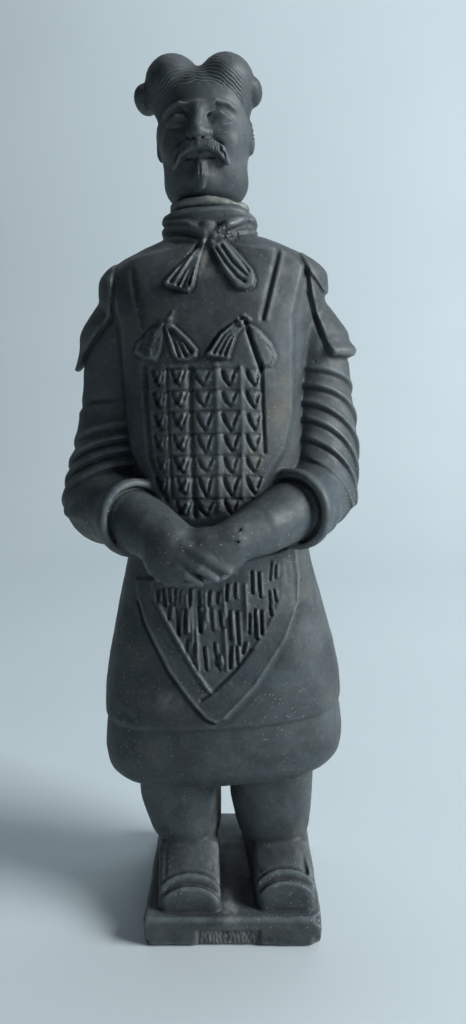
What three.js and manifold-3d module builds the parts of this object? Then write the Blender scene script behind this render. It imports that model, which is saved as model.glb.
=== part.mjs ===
// Terracotta warrior statue: a moulded souvenir figure of an armoured officer on a square base.
// Millimetres, +Z up. The figure faces -Y, and the origin is the centre of the base's underside.
// Three pieces: the figure with its base in one moulding, the head, and the pale ring of filler
// that beds the head in the collar.
import * as THREE from 'three';
import { mergeVertices } from 'three/addons/utils/BufferGeometryUtils.js';
import Module from 'manifold-3d';

const wasm = await Module();
wasm.setup();

const { PI, abs, atan2, cos, hypot, max, min, sign, sin } = Math;

// ---------------------------------------------------------------- driving dimensions, mm
const BASE = { width: 41, depth: 44, height: 7, edge: 0.9 };
const LEAN = { shift: -1.3, perHeight: -0.023 };   // the whole body leans towards -X
const HEM = { slope: 0.07, level: 50.5 };         // the hem rises towards +X
const SHOULDER_SLOPE = 0.045;                     // and so do the shoulders
const GAP = 0.3;    // clearance between pieces that touch
const WELD = 1e-3;  // vertices closer than this are one

// Cross-sections: half width, how far the front and the back reach, and how square the section is.
const UNDER_ROBE = [
  { z: 33.6, half: 22.5, front: 10.5, back: 13 },
  { z: 35.2, half: 26.2, front: 14.2, back: 16.5 },
  { z: 38.5, half: 28.6, front: 16.8, back: 19 },
  { z: 43, half: 29.2, front: 17.8, back: 19.8 },
  { z: 49, half: 28.6, front: 17.3, back: 19.3 },
  { z: 54, half: 27.4, front: 16.6, back: 18.6 },
];
const COAT = [
  { z: HEM.level, half: 28.2, front: 17.5, back: 19.5 },
  { z: HEM.level + 0.9, half: 28.8, front: 18.1, back: 20 },
  { z: 58, half: 28.5, front: 17.8, back: 19.6 },
  { z: 66, half: 27, front: 17, back: 18.6 },
  { z: 76, half: 24.6, front: 16.2, back: 17.3 },
  { z: 88, half: 21.6, front: 15.6, back: 16.2 },
  { z: 104, half: 20, front: 16.2, back: 16.3 },
  { z: 126, half: 20.2, front: 16.7, back: 17 },
  { z: 140, half: 22.4, front: 16, back: 16.8 },
  { z: 147, half: 24.8, front: 14.8, back: 15.8 },
  { z: 151.5, half: 24.6, front: 13.2, back: 14.4 },
  { z: 154.5, half: 22.2, front: 11.8, back: 12.8 },
  { z: 157, half: 17.6, front: 10.4, back: 11.2 },
  { z: 159.5, half: 11.2, front: 9, back: 9.6 },
];
const BODY_SQUARENESS = 2.5;

const COLLAR = { centre: -0.2, foot: 157, top: 165.2, socketFloor: 161, socketRadius: 6.6 };
const FILLER = { centre: -5.4, inner: 6.2, outer: 8.7, bottom: 165.5, top: 167 };
const HEAD = { centre: [-6.3, 0, 180.5], half: [11.3, 11.6, 13.2], roll: -3, turn: -5 };
const NECK = { radius: 5.8, bottom: 161.6 };

// A sleeve: its upper half from the shoulder to the elbow, its lower half from there to the cuff,
// and the forearm that leaves it, each an axis with the radius at every point of it. Folds are
// places along the upper half, from 0 at the shoulder to 1 at the elbow.
const SLEEVES = [
  {
    side: -1,
    upper: [[-17.5, 1, 148], [-21.6, 1.5, 139], [-23, 1.5, 127], [-24.3, 1, 114], [-25.2, -3, 100.8]],
    upperRadius: [6.2, 8.6, 7.6, 9, 10.3],
    folds: [0.5, 0.6, 0.7, 0.79, 0.88],
    lower: [[-25.2, -3, 100.8], [-20.6, -11.5, 99], [-17, -16.5, 98.8]],
    lowerRadius: [10.3, 9.6, 8.7, 7.8, 8.8, 8.3],
    forearm: [[-19, -13, 98.5], [-13, -20, 96.3], [-9, -24, 94.6]],
    forearmRadius: [6.6, 6.2, 5.6],
  },
  {
    side: 1,
    upper: [[17.5, 1, 148], [22, 1.5, 139], [24, 1.5, 127], [24.2, 0.5, 116], [22.8, -3, 103.6]],
    upperRadius: [6.2, 8.8, 7.8, 8.8, 9.4],
    folds: [0.42, 0.52, 0.62, 0.73, 0.84],
    lower: [[22.8, -3, 103.6], [20, -10.5, 101], [16.5, -15.5, 100.6]],
    lowerRadius: [9.4, 9.3, 8.9, 8, 9, 8.5],
    forearm: [[17, -13, 100.5], [10, -19.5, 97.6], [3.5, -24, 95.4]],
    forearmRadius: [6.8, 5.8, 4.8],
  },
];

// ---------------------------------------------------------------- materials
const clay = new THREE.MeshStandardMaterial({ color: 0x3d474b, roughness: 0.86, metalness: 0 });
const headClay = new THREE.MeshStandardMaterial({ color: 0x394349, roughness: 0.84, metalness: 0 });
const fillerPaste = new THREE.MeshStandardMaterial({ color: 0x8d8b80, roughness: 0.9, metalness: 0 });

// ---------------------------------------------------------------- solids
const lerp = THREE.MathUtils.lerp;
const clamp = THREE.MathUtils.clamp;
const smooth = THREE.MathUtils.smoothstep;
const vec = (point) => new THREE.Vector3(...point);

// A list of values read at t from 0 to 1.
function along(values, t) {
  const place = clamp(t, 0, 1) * (values.length - 1);
  const low = min(Math.floor(place), values.length - 2);
  return lerp(values[low], values[low + 1], place - low);
}

// A closed three.js geometry as a solid with its faces pointing out.
function solid(geometry) {
  const bare = geometry.clone();
  bare.deleteAttribute('normal');
  bare.deleteAttribute('uv');
  const merged = mergeVertices(bare, WELD);
  const points = merged.attributes.position;
  const faces = Uint32Array.from(merged.index.array);
  const [a, b, c] = [new THREE.Vector3(), new THREE.Vector3(), new THREE.Vector3()];
  let volume = 0;
  for (let i = 0; i < faces.length; i += 3) {
    a.fromBufferAttribute(points, faces[i]);
    b.fromBufferAttribute(points, faces[i + 1]);
    c.fromBufferAttribute(points, faces[i + 2]);
    volume += a.dot(b.cross(c));
  }
  if (volume < 0) {
    for (let i = 0; i < faces.length; i += 3) {
      [faces[i + 1], faces[i + 2]] = [faces[i + 2], faces[i + 1]];
    }
  }
  const vertProperties = Float32Array.from(points.array);
  return new wasm.Manifold(new wasm.Mesh({ numProp: 3, vertProperties, triVerts: faces }));
}

function geometryOf(manifold) {
  const mesh = manifold.getMesh();
  const geometry = new THREE.BufferGeometry();
  geometry.setAttribute('position', new THREE.Float32BufferAttribute(mesh.vertProperties, 3));
  geometry.setIndex(Array.from(mesh.triVerts));
  return geometry;
}

const joined = (solids) => solids.reduce((whole, next) => whole.add(next));

// The outer skin alone: what a join leaves shut inside is filled, and loose crumbs are dropped.
function skinOf(whole) {
  return solid(geometryOf(whole)).decompose().sort((a, b) => b.volume() - a.volume())[0];
}

// Moves every vertex of a geometry to place(x, y, z).
function moved(geometry, place) {
  const points = geometry.attributes.position;
  for (let i = 0; i < points.count; i += 1) {
    points.setXYZ(i, ...place(points.getX(i), points.getY(i), points.getZ(i)));
  }
  return geometry;
}

// Stacks sections from the bottom row to the top one; lift(x, row) adds to the height.
function loft(rows, sides, power, centre = 0, lift = () => 0) {
  return solid(moved(new THREE.CylinderGeometry(1, 1, 1, sides, rows.length - 1), (x, y, z) => {
    const row = rows[Math.round((y + 0.5) * (rows.length - 1))];
    const angle = atan2(x, z);
    const reach = hypot(x, z);
    const across = sign(sin(angle)) * abs(sin(angle)) ** (2 / power) * row.half * reach;
    const deep = abs(cos(angle)) ** (2 / power) * reach;
    const depth = cos(angle) > 0 ? -row.front * deep : row.back * deep;
    return [centre + across, depth, row.z + lift(across, row)];
  }));
}

// A bar along a curve. Its section is width by thickness, with the thickness towards facing,
// and it narrows to a blunt end over the share of its length named by taper.
function bar({ path, width, thickness = width, facing = [0, -1, 0], sides = 8, steps = 10, taper = 0.12 }) {
  const curve = new THREE.CatmullRomCurve3(path.map(vec), false, 'centripetal');
  const out = vec(facing);
  return solid(moved(new THREE.CylinderGeometry(1, 1, 1, sides, steps), (x, y, z) => {
    const t = y + 0.5;
    const tangent = curve.getTangentAt(t);
    const side = new THREE.Vector3().crossVectors(out, tangent).normalize();
    const up = new THREE.Vector3().crossVectors(tangent, side).normalize();
    const nearEnd = taper > 0 ? min(t, 1 - t) / taper : 1;
    const round = nearEnd < 1 ? lerp(0.45, 1, (1 - (1 - nearEnd) ** 2) ** 0.5) : 1;
    const point = curve.getPointAt(t);
    point.addScaledVector(side, x * along(width, t) * round);
    point.addScaledVector(up, -z * along(thickness, t) * round);
    return point.toArray();
  }));
}

function ball([x, y, z], [halfX, halfY, halfZ], sides = 16, rings = 12) {
  const geometry = new THREE.SphereGeometry(1, sides, rings);
  return solid(geometry.rotateX(PI / 2).scale(halfX, halfY, halfZ).translate(x, y, z));
}

// A bent block: place(u, v, w) with u and v from 0 to 1 and w 0 inside, 1 on the outer face.
function patch(across, down, place) {
  const box = new THREE.BoxGeometry(1, 1, 1, across, down, 1);
  return solid(moved(box, (x, y, z) => place(x + 0.5, y + 0.5, z + 0.5)));
}

// ---------------------------------------------------------------- the body's surface
function rowAt(rows, z) {
  const above = rows.findIndex((row) => row.z > z);
  if (above < 0) return rows[rows.length - 1];
  if (above === 0) return rows[0];
  const [low, high] = [rows[above - 1], rows[above]];
  const t = (z - low.z) / (high.z - low.z);
  return { z, half: lerp(low.half, high.half, t), front: lerp(low.front, high.front, t) };
}

// Depth of the coat's front at x, z.
function frontAt(x, z) {
  const row = rowAt(COAT, z);
  const share = min(abs(x) / row.half, 0.999);
  return -row.front * (1 - share ** BODY_SQUARENESS) ** (1 / BODY_SQUARENESS);
}

const onFront = ([x, z], lift = 0) => [x, frontAt(x, z) - lift, z];

// A flat piece on the front between two edges, each a list of [x, z] from its top to its foot.
function frontPlate(left, right, lift, across = 1, down = 1, sink = 1.2) {
  return patch(across, down, (u, v, w) => {
    const t = 1 - v;
    const x = lerp(along(left.map((p) => p[0]), t), along(right.map((p) => p[0]), t), u);
    const z = lerp(along(left.map((p) => p[1]), t), along(right.map((p) => p[1]), t), u);
    return onFront([x, z], w === 1 ? along(lift, t) : -sink);
  });
}

// ---------------------------------------------------------------- base, shoes and legs
const SHOES = [
  { toe: [-9.9, -19.8], heel: [-12.4, 13.5], half: [7.2, 7.2], toeHeight: 4.1 },
  { toe: [12.6, -19.3], heel: [9.6, 13.5], half: [6.7, 7], toeHeight: 5.2 },
];

function makeBase() {
  const { width, depth, height, edge } = BASE;
  const outline = new THREE.Shape();
  const [x, y] = [width / 2 - edge, depth / 2 - edge];
  outline.moveTo(-x, -y).lineTo(x, -y).lineTo(x, y).lineTo(-x, y).closePath();
  const block = new THREE.ExtrudeGeometry(outline, {
    depth: height - edge, bevelSize: edge, bevelThickness: edge, bevelSegments: 1,
  });
  const upright = solid(block);
  const underCut = solid(new THREE.BoxGeometry(60, 60, 4).translate(0, 0, -2));
  const field = solid(new THREE.BoxGeometry(14.4, 1.2, 4.6).translate(-0.9, -depth / 2 - 0.1, 1.7));
  const chips = [[20.4, -21.6, 6.6, 1.5], [20, -22.3, 1.2, 1.7], [-20.4, -22, 0.6, 1.2]].map(
    ([cx, cy, cz, r]) => solid(new THREE.IcosahedronGeometry(r, 0).translate(cx, cy, cz)),
  );
  return chips.reduce((base, chip) => base.subtract(chip), upright.subtract(underCut).subtract(field));
}

// A square-toed shoe: its top falls straight from the ankle to a flat toe, with two raised lines over the toes.
function makeShoe({ toe, heel, half, toeHeight }) {
  const ankle = { height: 19, end: 0.68 };
  const places = [0, 0.4, 0.68, 0.78, 0.865, 0.9, 0.93, 0.965, 1];
  const lines = [0.9, 0.965];
  return patch(4, places.length - 1, (u, v, w) => {
    const across = u * 2 - 1;
    const t = places[Math.round(v * (places.length - 1))];
    const crown = 1 - 0.3 * abs(across) ** 3;
    const slope = lerp(ankle.height, BASE.height + toeHeight, max(0, t - ankle.end) / (1 - ankle.end));
    const raised = lines.includes(t) ? 0.6 : 0;
    const z = w === 1 ? BASE.height + (slope - BASE.height) * crown + raised : BASE.height - 1;
    const x = lerp(heel[0], toe[0], t) + across * lerp(half[1], half[0], t);
    return [x, lerp(heel[1], toe[1], t), z];
  });
}

// Wide trouser legs, gathered a little at their ends.
function makeLeg(side) {
  const centres = side < 0 ? [-11.4, -11.8, -13, -13.4] : [10.1, 10.1, 9.5, 9.4];
  const halves = side < 0 ? [8.1, 8.7, 10, 10.6] : [8.6, 9.1, 10.3, 10.6];
  const heights = [17.6, 19.5, 27, 38];
  const rows = heights.map((z, i) => ({ z, half: halves[i], front: 9.8 + i * 0.7, back: 11 + i * 0.7 }));
  return solid(moved(new THREE.CylinderGeometry(1, 1, 1, 16, rows.length - 1), (x, y, z) => {
    const i = Math.round((y + 0.5) * (rows.length - 1));
    const row = rows[i];
    return [centres[i] + x * row.half, z > 0 ? -z * row.front : -z * row.back, row.z + 0.04 * x * row.half];
  }));
}

// ---------------------------------------------------------------- robe and coat
function slantLift(x, row) {
  return x * (HEM.slope * smooth(92 - row.z, 0, 40) + SHOULDER_SLOPE * smooth(row.z, 138, 154));
}

function makeRobes() {
  return joined([
    loft(UNDER_ROBE, 24, BODY_SQUARENESS, 0, slantLift),
    loft(COAT, 24, BODY_SQUARENESS, 0, slantLift),
  ]);
}

// The apron's pointed border and the short upright strokes inside it.
const APRON = {
  outer: [[-18.6, 80], [-17.3, 75.2], [-12, 63.5], [-6.9, 57.2], [-1.9, 52.8],
    [7.8, 61.9], [14.8, 71.8], [18.1, 81.9], [18.4, 90]],
  inner: [[-16.2, 84], [-14.7, 80], [-10.1, 72.9], [-5.4, 64.9], [-1.9, 59.8],
    [3.5, 64.9], [9.3, 72.9], [12.9, 78.4], [14.9, 86]],
  top: 88,
};

function apronFloor(x) {
  const points = APRON.inner;
  for (let i = 1; i < points.length; i += 1) {
    const [low, high] = [points[i - 1], points[i]];
    if (x <= high[0]) return lerp(low[1], high[1], (x - low[0]) / (high[0] - low[0]));
  }
  return APRON.top;
}

function makeApron() {
  const corners = APRON.outer.length - 1;
  const border = patch(corners, 1, (u, v, w) => {
    const [outer, inner] = [APRON.outer, APRON.inner].map((edge) => [
      along(edge.map((p) => p[0]), u), along(edge.map((p) => p[1]), u),
    ]);
    const place = v > 0.5 ? inner : outer;
    return onFront(place, w === 1 ? 0.9 : -1.2);
  });
  const strokes = [];
  const pitch = 2.7;
  for (let column = 0; column < 10; column += 1) {
    const x = -13 + column * pitch;
    const floor = apronFloor(x) + 1.2;
    let top = APRON.top - (column % 3) * 1.7;
    let row = 0;
    while (top - 4 > floor) {
      const length = 6.4 + ((column * 5 + row * 3) % 4) * 1.5;
      const foot = max(top - length, floor);
      const right = [[x + 1, top - 0.4], [x + 1, foot - 0.3]];
      strokes.push(frontPlate([[x, top], [x, foot]], right, [0.7, 0.7]));
      top = foot - 1.6;
      row += 1;
    }
  }
  return joined([border, ...strokes]);
}

// ---------------------------------------------------------------- armour
const PANEL = {
  columns: [-13.4, -9.2, -4.7, 1.1, 6.2, 10.3], top: 131, pitch: 4.62, rows: 7,
};

// A pointed lug on a plate: a three-sided pyramid with one corner down.
function makeLug(middle, top, foot) {
  const half = 1.3;
  return solid(moved(new THREE.ConeGeometry(1, 1, 3, 1), (x, y, z) => {
    const down = (z + 0.5) / 1.5;
    const lift = y > 0 ? 1.9 : -0.6;
    const place = y > 0
      ? [middle, lerp(top, foot, 0.7)]
      : [middle + x / 0.866 * half, lerp(top, foot, down)];
    return onFront(place, lift);
  }));
}

function makePanel() {
  const plates = [];
  for (let row = 0; row < PANEL.rows; row += 1) {
    const top = PANEL.top - row * PANEL.pitch;
    const foot = top - PANEL.pitch + 0.35;
    for (let column = 0; column < PANEL.columns.length - 1; column += 1) {
      const last = row === PANEL.rows - 1;
      const offCorner = last && (column === 0 || column === PANEL.columns.length - 2);
      const left = PANEL.columns[column] + 0.25;
      const right = PANEL.columns[column + 1] - 0.25;
      if (offCorner) continue;
      plates.push(frontPlate([[left, top], [left, foot]], [[right, top], [right, foot]], [0.35, 1]));
      const middle = (left + right) / 2;
      plates.push(makeLug(middle, top - 1, foot + 0.5));
    }
  }
  return joined(plates);
}

// The vest stands a little proud of the sleeves: two straps over the chest and a border below.
const VEST = {
  right: {
    inner: [[14.6, 156], [10.8, 141], [10.6, 118], [9.6, 108]],
    outer: [[20.4, 153], [17.4, 142], [17.2, 120], [13.2, 108]],
  },
  left: {
    inner: [[-16.6, 153], [-14.4, 140], [-14.2, 122], [-13.2, 108]],
    outer: [[-22.4, 150.5], [-20, 140], [-19.4, 122], [-17, 108]],
  },
};

function makeVest() {
  const right = frontPlate(VEST.right.inner, VEST.right.outer, [0.9, 0.9, 0.8, 0.4], 1, 6);
  const left = frontPlate(VEST.left.outer, VEST.left.inner, [0.9, 0.9, 0.8, 0.4], 1, 6);
  return joined([right, left]);
}

// Bows of ribbon: a knot with tails that widen to a cut end, each tail with raised strands.
const BOWS = [
  { knot: [-9.7, 140], tails: [[[-16.2, 134.2], 2.4], [[-5.2, 133.4], 2.6]] },
  { knot: [6.7, 140.6], tails: [[[1.2, 133.4], 2.7], [[11.8, 133], 2]] },
];

// A tail of ribbon from one [x, z] to another: its strands are ridges with sharp valleys between.
function makeTail([x0, z0], [x1, z1], spread, strands, thick = 1) {
  const length = hypot(x1 - x0, z1 - z0);
  const [sideX, sideZ] = [-(z1 - z0) / length, (x1 - x0) / length];
  return patch(strands * 2, 2, (u, v, w) => {
    const t = 1 - v;
    const reach = (u * 2 - 1) * spread * lerp(0.4, 1, t ** 0.6);
    const ridge = Math.round(u * strands * 2) % 2 ? 1 : 0.35;
    const place = [lerp(x0, x1, t) + sideX * reach, lerp(z0, z1, t) + sideZ * reach];
    return onFront(place, w === 1 ? thick * ridge : -1.2);
  });
}

function makeBows() {
  return joined(BOWS.flatMap(({ knot, tails }) => [
    ball(onFront(knot, 0.3), [1.3, 0.9, 1.3], 6, 4),
    ...tails.map(([end, spread]) => makeTail(knot, end, spread, 2)),
  ]));
}

// ---------------------------------------------------------------- sleeves, cuffs and hands
// Points on the upper sleeve: angle 0 is its outer side and a quarter turn its front.
function sleeveFrame(sleeve) {
  const curve = new THREE.CatmullRomCurve3(sleeve.upper.map(vec), false, 'centripetal');
  return (t, angle, lift) => {
    const tangent = curve.getTangent(t);
    const front = new THREE.Vector3(0, tangent.z, -tangent.y).normalize();
    const side = new THREE.Vector3().crossVectors(tangent, front).multiplyScalar(-sleeve.side);
    const reach = along(sleeve.upperRadius, t) + lift;
    return curve.getPoint(t).addScaledVector(side, cos(angle) * reach)
      .addScaledVector(front, sin(angle) * reach).toArray();
  };
}

// Height of the folds: each starts low on the inside of the arm and climbs round its front.
function foldHeight(sleeve, t, angle) {
  const slant = 0.04 * (1.6 - abs(wrap(angle - 0.4)));
  return sleeve.folds.reduce((height, start) => {
    const off = (t - start - slant) / 0.03;
    return height + 1.1 * max(0, 1 - abs(off)) * smooth(cos(angle - 0.6), -0.9, 0);
  }, 0);
}

const wrap = (angle) => atan2(sin(angle), cos(angle));

function makeSleeve(sleeve) {
  const at = sleeveFrame(sleeve);
  const tube = solid(moved(new THREE.CylinderGeometry(1, 1, 1, 12, 18), (x, y, z) => {
    const t = y + 0.5;
    const angle = atan2(z, x);
    const rim = hypot(x, z) > 0.5;
    return at(t, angle, rim ? foldHeight(sleeve, t, angle) : -along(sleeve.upperRadius, t));
  }));
  const lower = { path: sleeve.lower, width: sleeve.lowerRadius, sides: 10, steps: 5, taper: 0 };
  const forearm = { path: sleeve.forearm, width: sleeve.forearmRadius, sides: 8, steps: 3, taper: 0.1 };
  return joined([
    tube,
    ball(sleeve.lower[0], Array(3).fill(sleeve.lowerRadius[0]), 10, 8),
    bar({ ...lower, facing: [0, 0, 1] }),
    bar({ ...forearm, facing: [0, 0, 1] }),
  ]);
}

// A curved shoulder plate over the top of each sleeve, with a rolled lower lip.
const SHOULDER_PLATES = [
  { sleeve: 0, top: 0.04, foot: 0.4, angles: [[1.9, -0.4], [1.25, -1.5]], drop: 0.06, lip: [1.2, -1.4] },
  { sleeve: 1, top: 0.02, foot: 0.35, angles: [[1.7, -0.4], [1.35, -1.5]], drop: 0, lip: [1.35, -1.4] },
];

function makeShoulderPlate({ sleeve, top, foot, angles, drop, lip }) {
  const at = sleeveFrame(SLEEVES[sleeve]);
  const plate = patch(5, 3, (u, v, w) => {
    const t = 1 - v;
    const angle = lerp(along([angles[0][0], angles[1][0]], t), along([angles[0][1], angles[1][1]], t), u);
    const skew = drop * (1 - u) * t * -1;
    return at(lerp(top, foot, t) + skew, angle, w === 1 ? 1.5 : -2);
  });
  const roll = bar({
    path: [0, 0.33, 0.66, 1].map((u) => at(foot - drop * (1 - u), lerp(...lip, u), 2)),
    width: [1, 1.2, 1.2, 0.9], sides: 5, steps: 5, facing: [0, 0, 1],
  });
  return joined([plate, roll]);
}

// The hand nearest the viewer's left lies on the other one, with three fingers across it.
const FINGERS = [
  [[-6, -29.2, 95.6], [2, -28.6, 92]],
  [[-7, -29.4, 93.4], [-0.8, -28.9, 90.6]],
  [[-8, -29, 91.4], [-4.4, -28.6, 89.6]],
];

function makeHands() {
  return joined([
    ball([-8.6, -26, 94], [6.4, 4.4, 5.4], 12, 8),
    ball([-1, -25, 93.4], [6.6, 4, 4.4], 12, 6),
    ...FINGERS.map((path) => bar({ path, width: [1.5, 1.4, 1.3], sides: 6, steps: 3, taper: 0.2 })),
  ]);
}

// ---------------------------------------------------------------- collar and scarf
function makeCollar() {
  const rows = [
    { z: COLLAR.foot - 1, half: 11, front: 10, back: 10.4 },
    { z: COLLAR.foot + 1.4, half: 11.2, front: 10.3, back: 10.4 },
    { z: COLLAR.foot + 3, half: 9.9, front: 9.2, back: 9.4 },
    { z: COLLAR.foot + 4.6, half: 10.4, front: 9.8, back: 9.8 },
    { z: COLLAR.top - 2.2, half: 9.6, front: 9, back: 9.2 },
    { z: COLLAR.top - 1, half: 9.9, front: 9.3, back: 9.4 },
    { z: COLLAR.top, half: 9, front: 8.6, back: 8.6 },
  ];
  return loft(rows, 18, 2, COLLAR.centre, (x) => 0.03 * x);
}

function makeScarf() {
  const knot = [-0.6, 160.6];
  return joined([
    ball([-0.6, -10.6, 160.6], [2.1, 1.6, 1.9], 8, 6),
    makeTail(knot, [-7, 147.6], 3.1, 3, 1.6),
    makeTail(knot, [7.8, 148], 2.8, 3, 1.6),
  ]);
}

// ---------------------------------------------------------------- the figure in one moulding
function makeFigure() {
  const shoes = SHOES.map(makeShoe);
  const body = joined([
    makeLeg(-1), makeLeg(1), makeRobes(), makeApron(), makePanel(), makeVest(), makeBows(),
    ...SLEEVES.map(makeSleeve), ...SHOULDER_PLATES.map(makeShoulderPlate), makeHands(),
    makeCollar(), makeScarf(),
  ]);
  const lean = new THREE.Matrix4().set(
    1, 0, LEAN.perHeight, LEAN.shift,
    0, 1, 0, 0,
    0, 0, 1, 0,
    0, 0, 0, 1,
  );
  const leaning = solid(geometryOf(body).applyMatrix4(lean));
  const socket = new THREE.CylinderGeometry(COLLAR.socketRadius, COLLAR.socketRadius, 10, 16).rotateX(PI / 2);
  const socketAt = solid(socket.translate(FILLER.centre, 0, COLLAR.socketFloor + 5));
  return skinOf(joined([leaning, makeBase(), ...shoes]).subtract(socketAt));
}

// ---------------------------------------------------------------- filler ring
function makeFiller() {
  const { inner, outer, bottom, top, centre } = FILLER;
  const profile = [
    [inner, bottom], [outer, bottom], [outer + 0.3, (bottom + top) / 2], [outer - 0.3, top], [inner, top],
    [inner, bottom],
  ].map(([x, y]) => new THREE.Vector2(x, y));
  return solid(new THREE.LatheGeometry(profile, 16).rotateX(PI / 2).translate(centre, 0, 0));
}

// ---------------------------------------------------------------- head
// Head parts are placed from the head's centre, before it is tilted: x, y, z in mm.
function makeHead() {
  const [halfX, halfY, halfZ] = HEAD.half;
  const egg = new THREE.SphereGeometry(1, 18, 12).rotateX(PI / 2);
  const skull = solid(moved(egg, (x, y, z) => {
    const jaw = 1 - 0.2 * smooth(-z, 0.2, 1);
    const brow = 1 + 0.04 * smooth(z, 0, 0.7);
    const square = 1 + 0.13 * sin(2 * atan2(abs(z), hypot(x, y))) ** 2;
    return [x * halfX * jaw * brow * square, y * halfY * jaw * square, z * halfZ * square];
  }));
  const lobes = [
    ball([-6.1, 1.5, 12], [6.6, 9.5, 6.4], 12, 7),
    ball([5.4, 1.5, 11.6], [6.4, 9.5, 6], 12, 7),
    ball([-12.7, 2, 10.6], [2.7, 4.6, 3], 8, 5),
    ball([10.8, 2, 10.4], [2.3, 4.2, 3], 8, 5),
    ball([-0.2, 1.5, -8.6], [9.4, 8.6, 6.4], 12, 7),
  ];
  const nose = bar({ path: [[0, -10.6, 3.4], [0, -12.3, 0.6], [0, -13.6, -2.2]],
    width: [0.9, 1.2, 2], thickness: [0.8, 1.3, 1.9], sides: 6, steps: 3, taper: 0.2 });
  const eyes = [-1, 1].flatMap((side) => [
    ball([side * 4.4, -10.2, 1.7], [2.3, 1.3, 1], 8, 4),
    bar({ path: [[side * 1.6, -11.3, 4.2], [side * 4.4, -11.2, 5], [side * 7.6, -9.6, 4.1]],
      width: [0.6, 0.7, 0.4], sides: 5, steps: 3, taper: 0.2 }),
  ]);
  const mouth = ball([0, -11.5, -5.9], [2.5, 1.1, 0.9], 8, 4);
  const chin = ball([0, -9.4, -10], [3.6, 2.6, 2.6], 8, 5);
  const ears = [-1, 1].map((side) => ball([side * 11.2, 0.6, 0.2], [1.1, 2.2, 3.6], 6, 6));
  const moustache = [-1, 1].map((side) => bar({
    path: [[0, -12.1, -3.9], [side * 3, -11.9, -4.2], [side * 5.7, -10.4, -6.8]],
    width: [0.8, 1.1, 0.6], thickness: [0.8, 0.9, 0.6], sides: 5, steps: 4, taper: 0.2,
  }));
  const goatee = bar({ path: [[0, -11.7, -7.2], [0, -11.9, -11]], width: [1.1, 1, 0.6],
    thickness: [1, 0.9, 0.6], sides: 5, steps: 2, taper: 0.3 });
  // Locks combed up from the brow into the two rolls, and a plait folded up the back.
  const locks = [];
  for (let i = 0; i < 5; i += 1) {
    const x = -8 + i * 3.8;
    const towards = x < -0.4 ? -6 : 4.6;
    locks.push(bar({
      path: [[x, -9.6 + abs(x + 0.4) * 0.16, 8.4], [lerp(x, towards, 0.4), -8.6, 12.2],
        [lerp(x, towards, 0.7), -5.6, 15.4]],
      width: [0.7, 0.9, 0.6], thickness: [0.6, 0.8, 0.5], sides: 4, steps: 2, taper: 0.25,
    }));
  }
  const plait = bar({ path: [[0, 10, -8], [0, 11.8, -1], [0, 11.2, 6], [0, 8.4, 11]],
    width: [3.4, 3.4, 3.2, 2.6], thickness: [1.6, 1.5, 1.5, 1.4], sides: 5, steps: 4, facing: [0, 1, 0] });
  const whole = joined([skull, ...lobes, nose, ...eyes, mouth, chin, ...ears, ...moustache, goatee,
    ...locks, plait]);
  const { degToRad } = THREE.MathUtils;
  const tilt = new THREE.Euler(0, degToRad(HEAD.roll), degToRad(HEAD.turn), 'XYZ');
  const geometry = geometryOf(whole).applyMatrix4(new THREE.Matrix4().makeRotationFromEuler(tilt));
  const placed = solid(geometry.translate(...HEAD.centre));
  const flat = solid(new THREE.BoxGeometry(60, 60, 20).translate(0, 0, FILLER.top + GAP - 10));
  const length = HEAD.centre[2] - NECK.bottom;
  const plug = new THREE.CylinderGeometry(NECK.radius, NECK.radius, length, 16).rotateX(PI / 2);
  return skinOf(placed.subtract(flat).add(solid(plug.translate(FILLER.centre, 0, NECK.bottom + length / 2))));
}

// ---------------------------------------------------------------- assembly
function named(name, manifold, material) {
  const mesh = new THREE.Mesh(geometryOf(manifold), material);
  mesh.name = name;
  return mesh;
}

const statue = new THREE.Group();
statue.add(named('figure', makeFigure(), clay));
statue.add(named('head', makeHead(), headClay));
statue.add(named('neck_filler', makeFiller(), fillerPaste));

export default statue;
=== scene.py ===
import math

import bpy
import numpy as np
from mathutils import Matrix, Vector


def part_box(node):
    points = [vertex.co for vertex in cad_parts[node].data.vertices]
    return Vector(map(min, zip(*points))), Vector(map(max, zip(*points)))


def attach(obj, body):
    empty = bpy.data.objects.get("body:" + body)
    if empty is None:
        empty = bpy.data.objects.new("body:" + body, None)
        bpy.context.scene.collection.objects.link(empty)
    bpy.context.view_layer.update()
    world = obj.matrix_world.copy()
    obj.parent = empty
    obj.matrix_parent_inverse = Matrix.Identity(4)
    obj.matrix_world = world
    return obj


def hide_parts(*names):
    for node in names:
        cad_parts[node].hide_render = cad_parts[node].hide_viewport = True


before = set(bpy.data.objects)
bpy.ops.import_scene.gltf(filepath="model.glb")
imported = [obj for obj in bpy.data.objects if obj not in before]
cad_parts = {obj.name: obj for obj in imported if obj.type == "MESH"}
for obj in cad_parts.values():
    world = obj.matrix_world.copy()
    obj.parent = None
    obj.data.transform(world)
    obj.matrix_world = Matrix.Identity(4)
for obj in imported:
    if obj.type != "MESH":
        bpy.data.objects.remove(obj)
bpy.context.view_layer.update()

import openvdb as vdb
from mathutils import Euler, Vector

# A small souvenir statue of a standing warrior, of dark unglazed clay, sculpted as one block of clay.
# Lengths are millimetres: x to the viewer's right, y away from the viewer, z up.
# The body leans to the left, so it is sculpted upright and sheared at the end, as in the CAD.
MM = 0.001
BODY_CELL = 0.3
BASE_CELL = 0.32
HEAD_CELL = 0.2
FILLER_CELL = 0.2
FAR = 3.0
HOLLOW_REACH = 3
SEED = 7
LEAN = {"shift": -1.3, "per_height": -0.023}
HEM_SLOPE = 0.07
SHOULDER_SLOPE = 0.045
BODY_TRIANGLES = 196000
BASE_TRIANGLES = 110000
HEAD_TRIANGLES = 150000
FILLER_TRIANGLES = 16000
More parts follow.
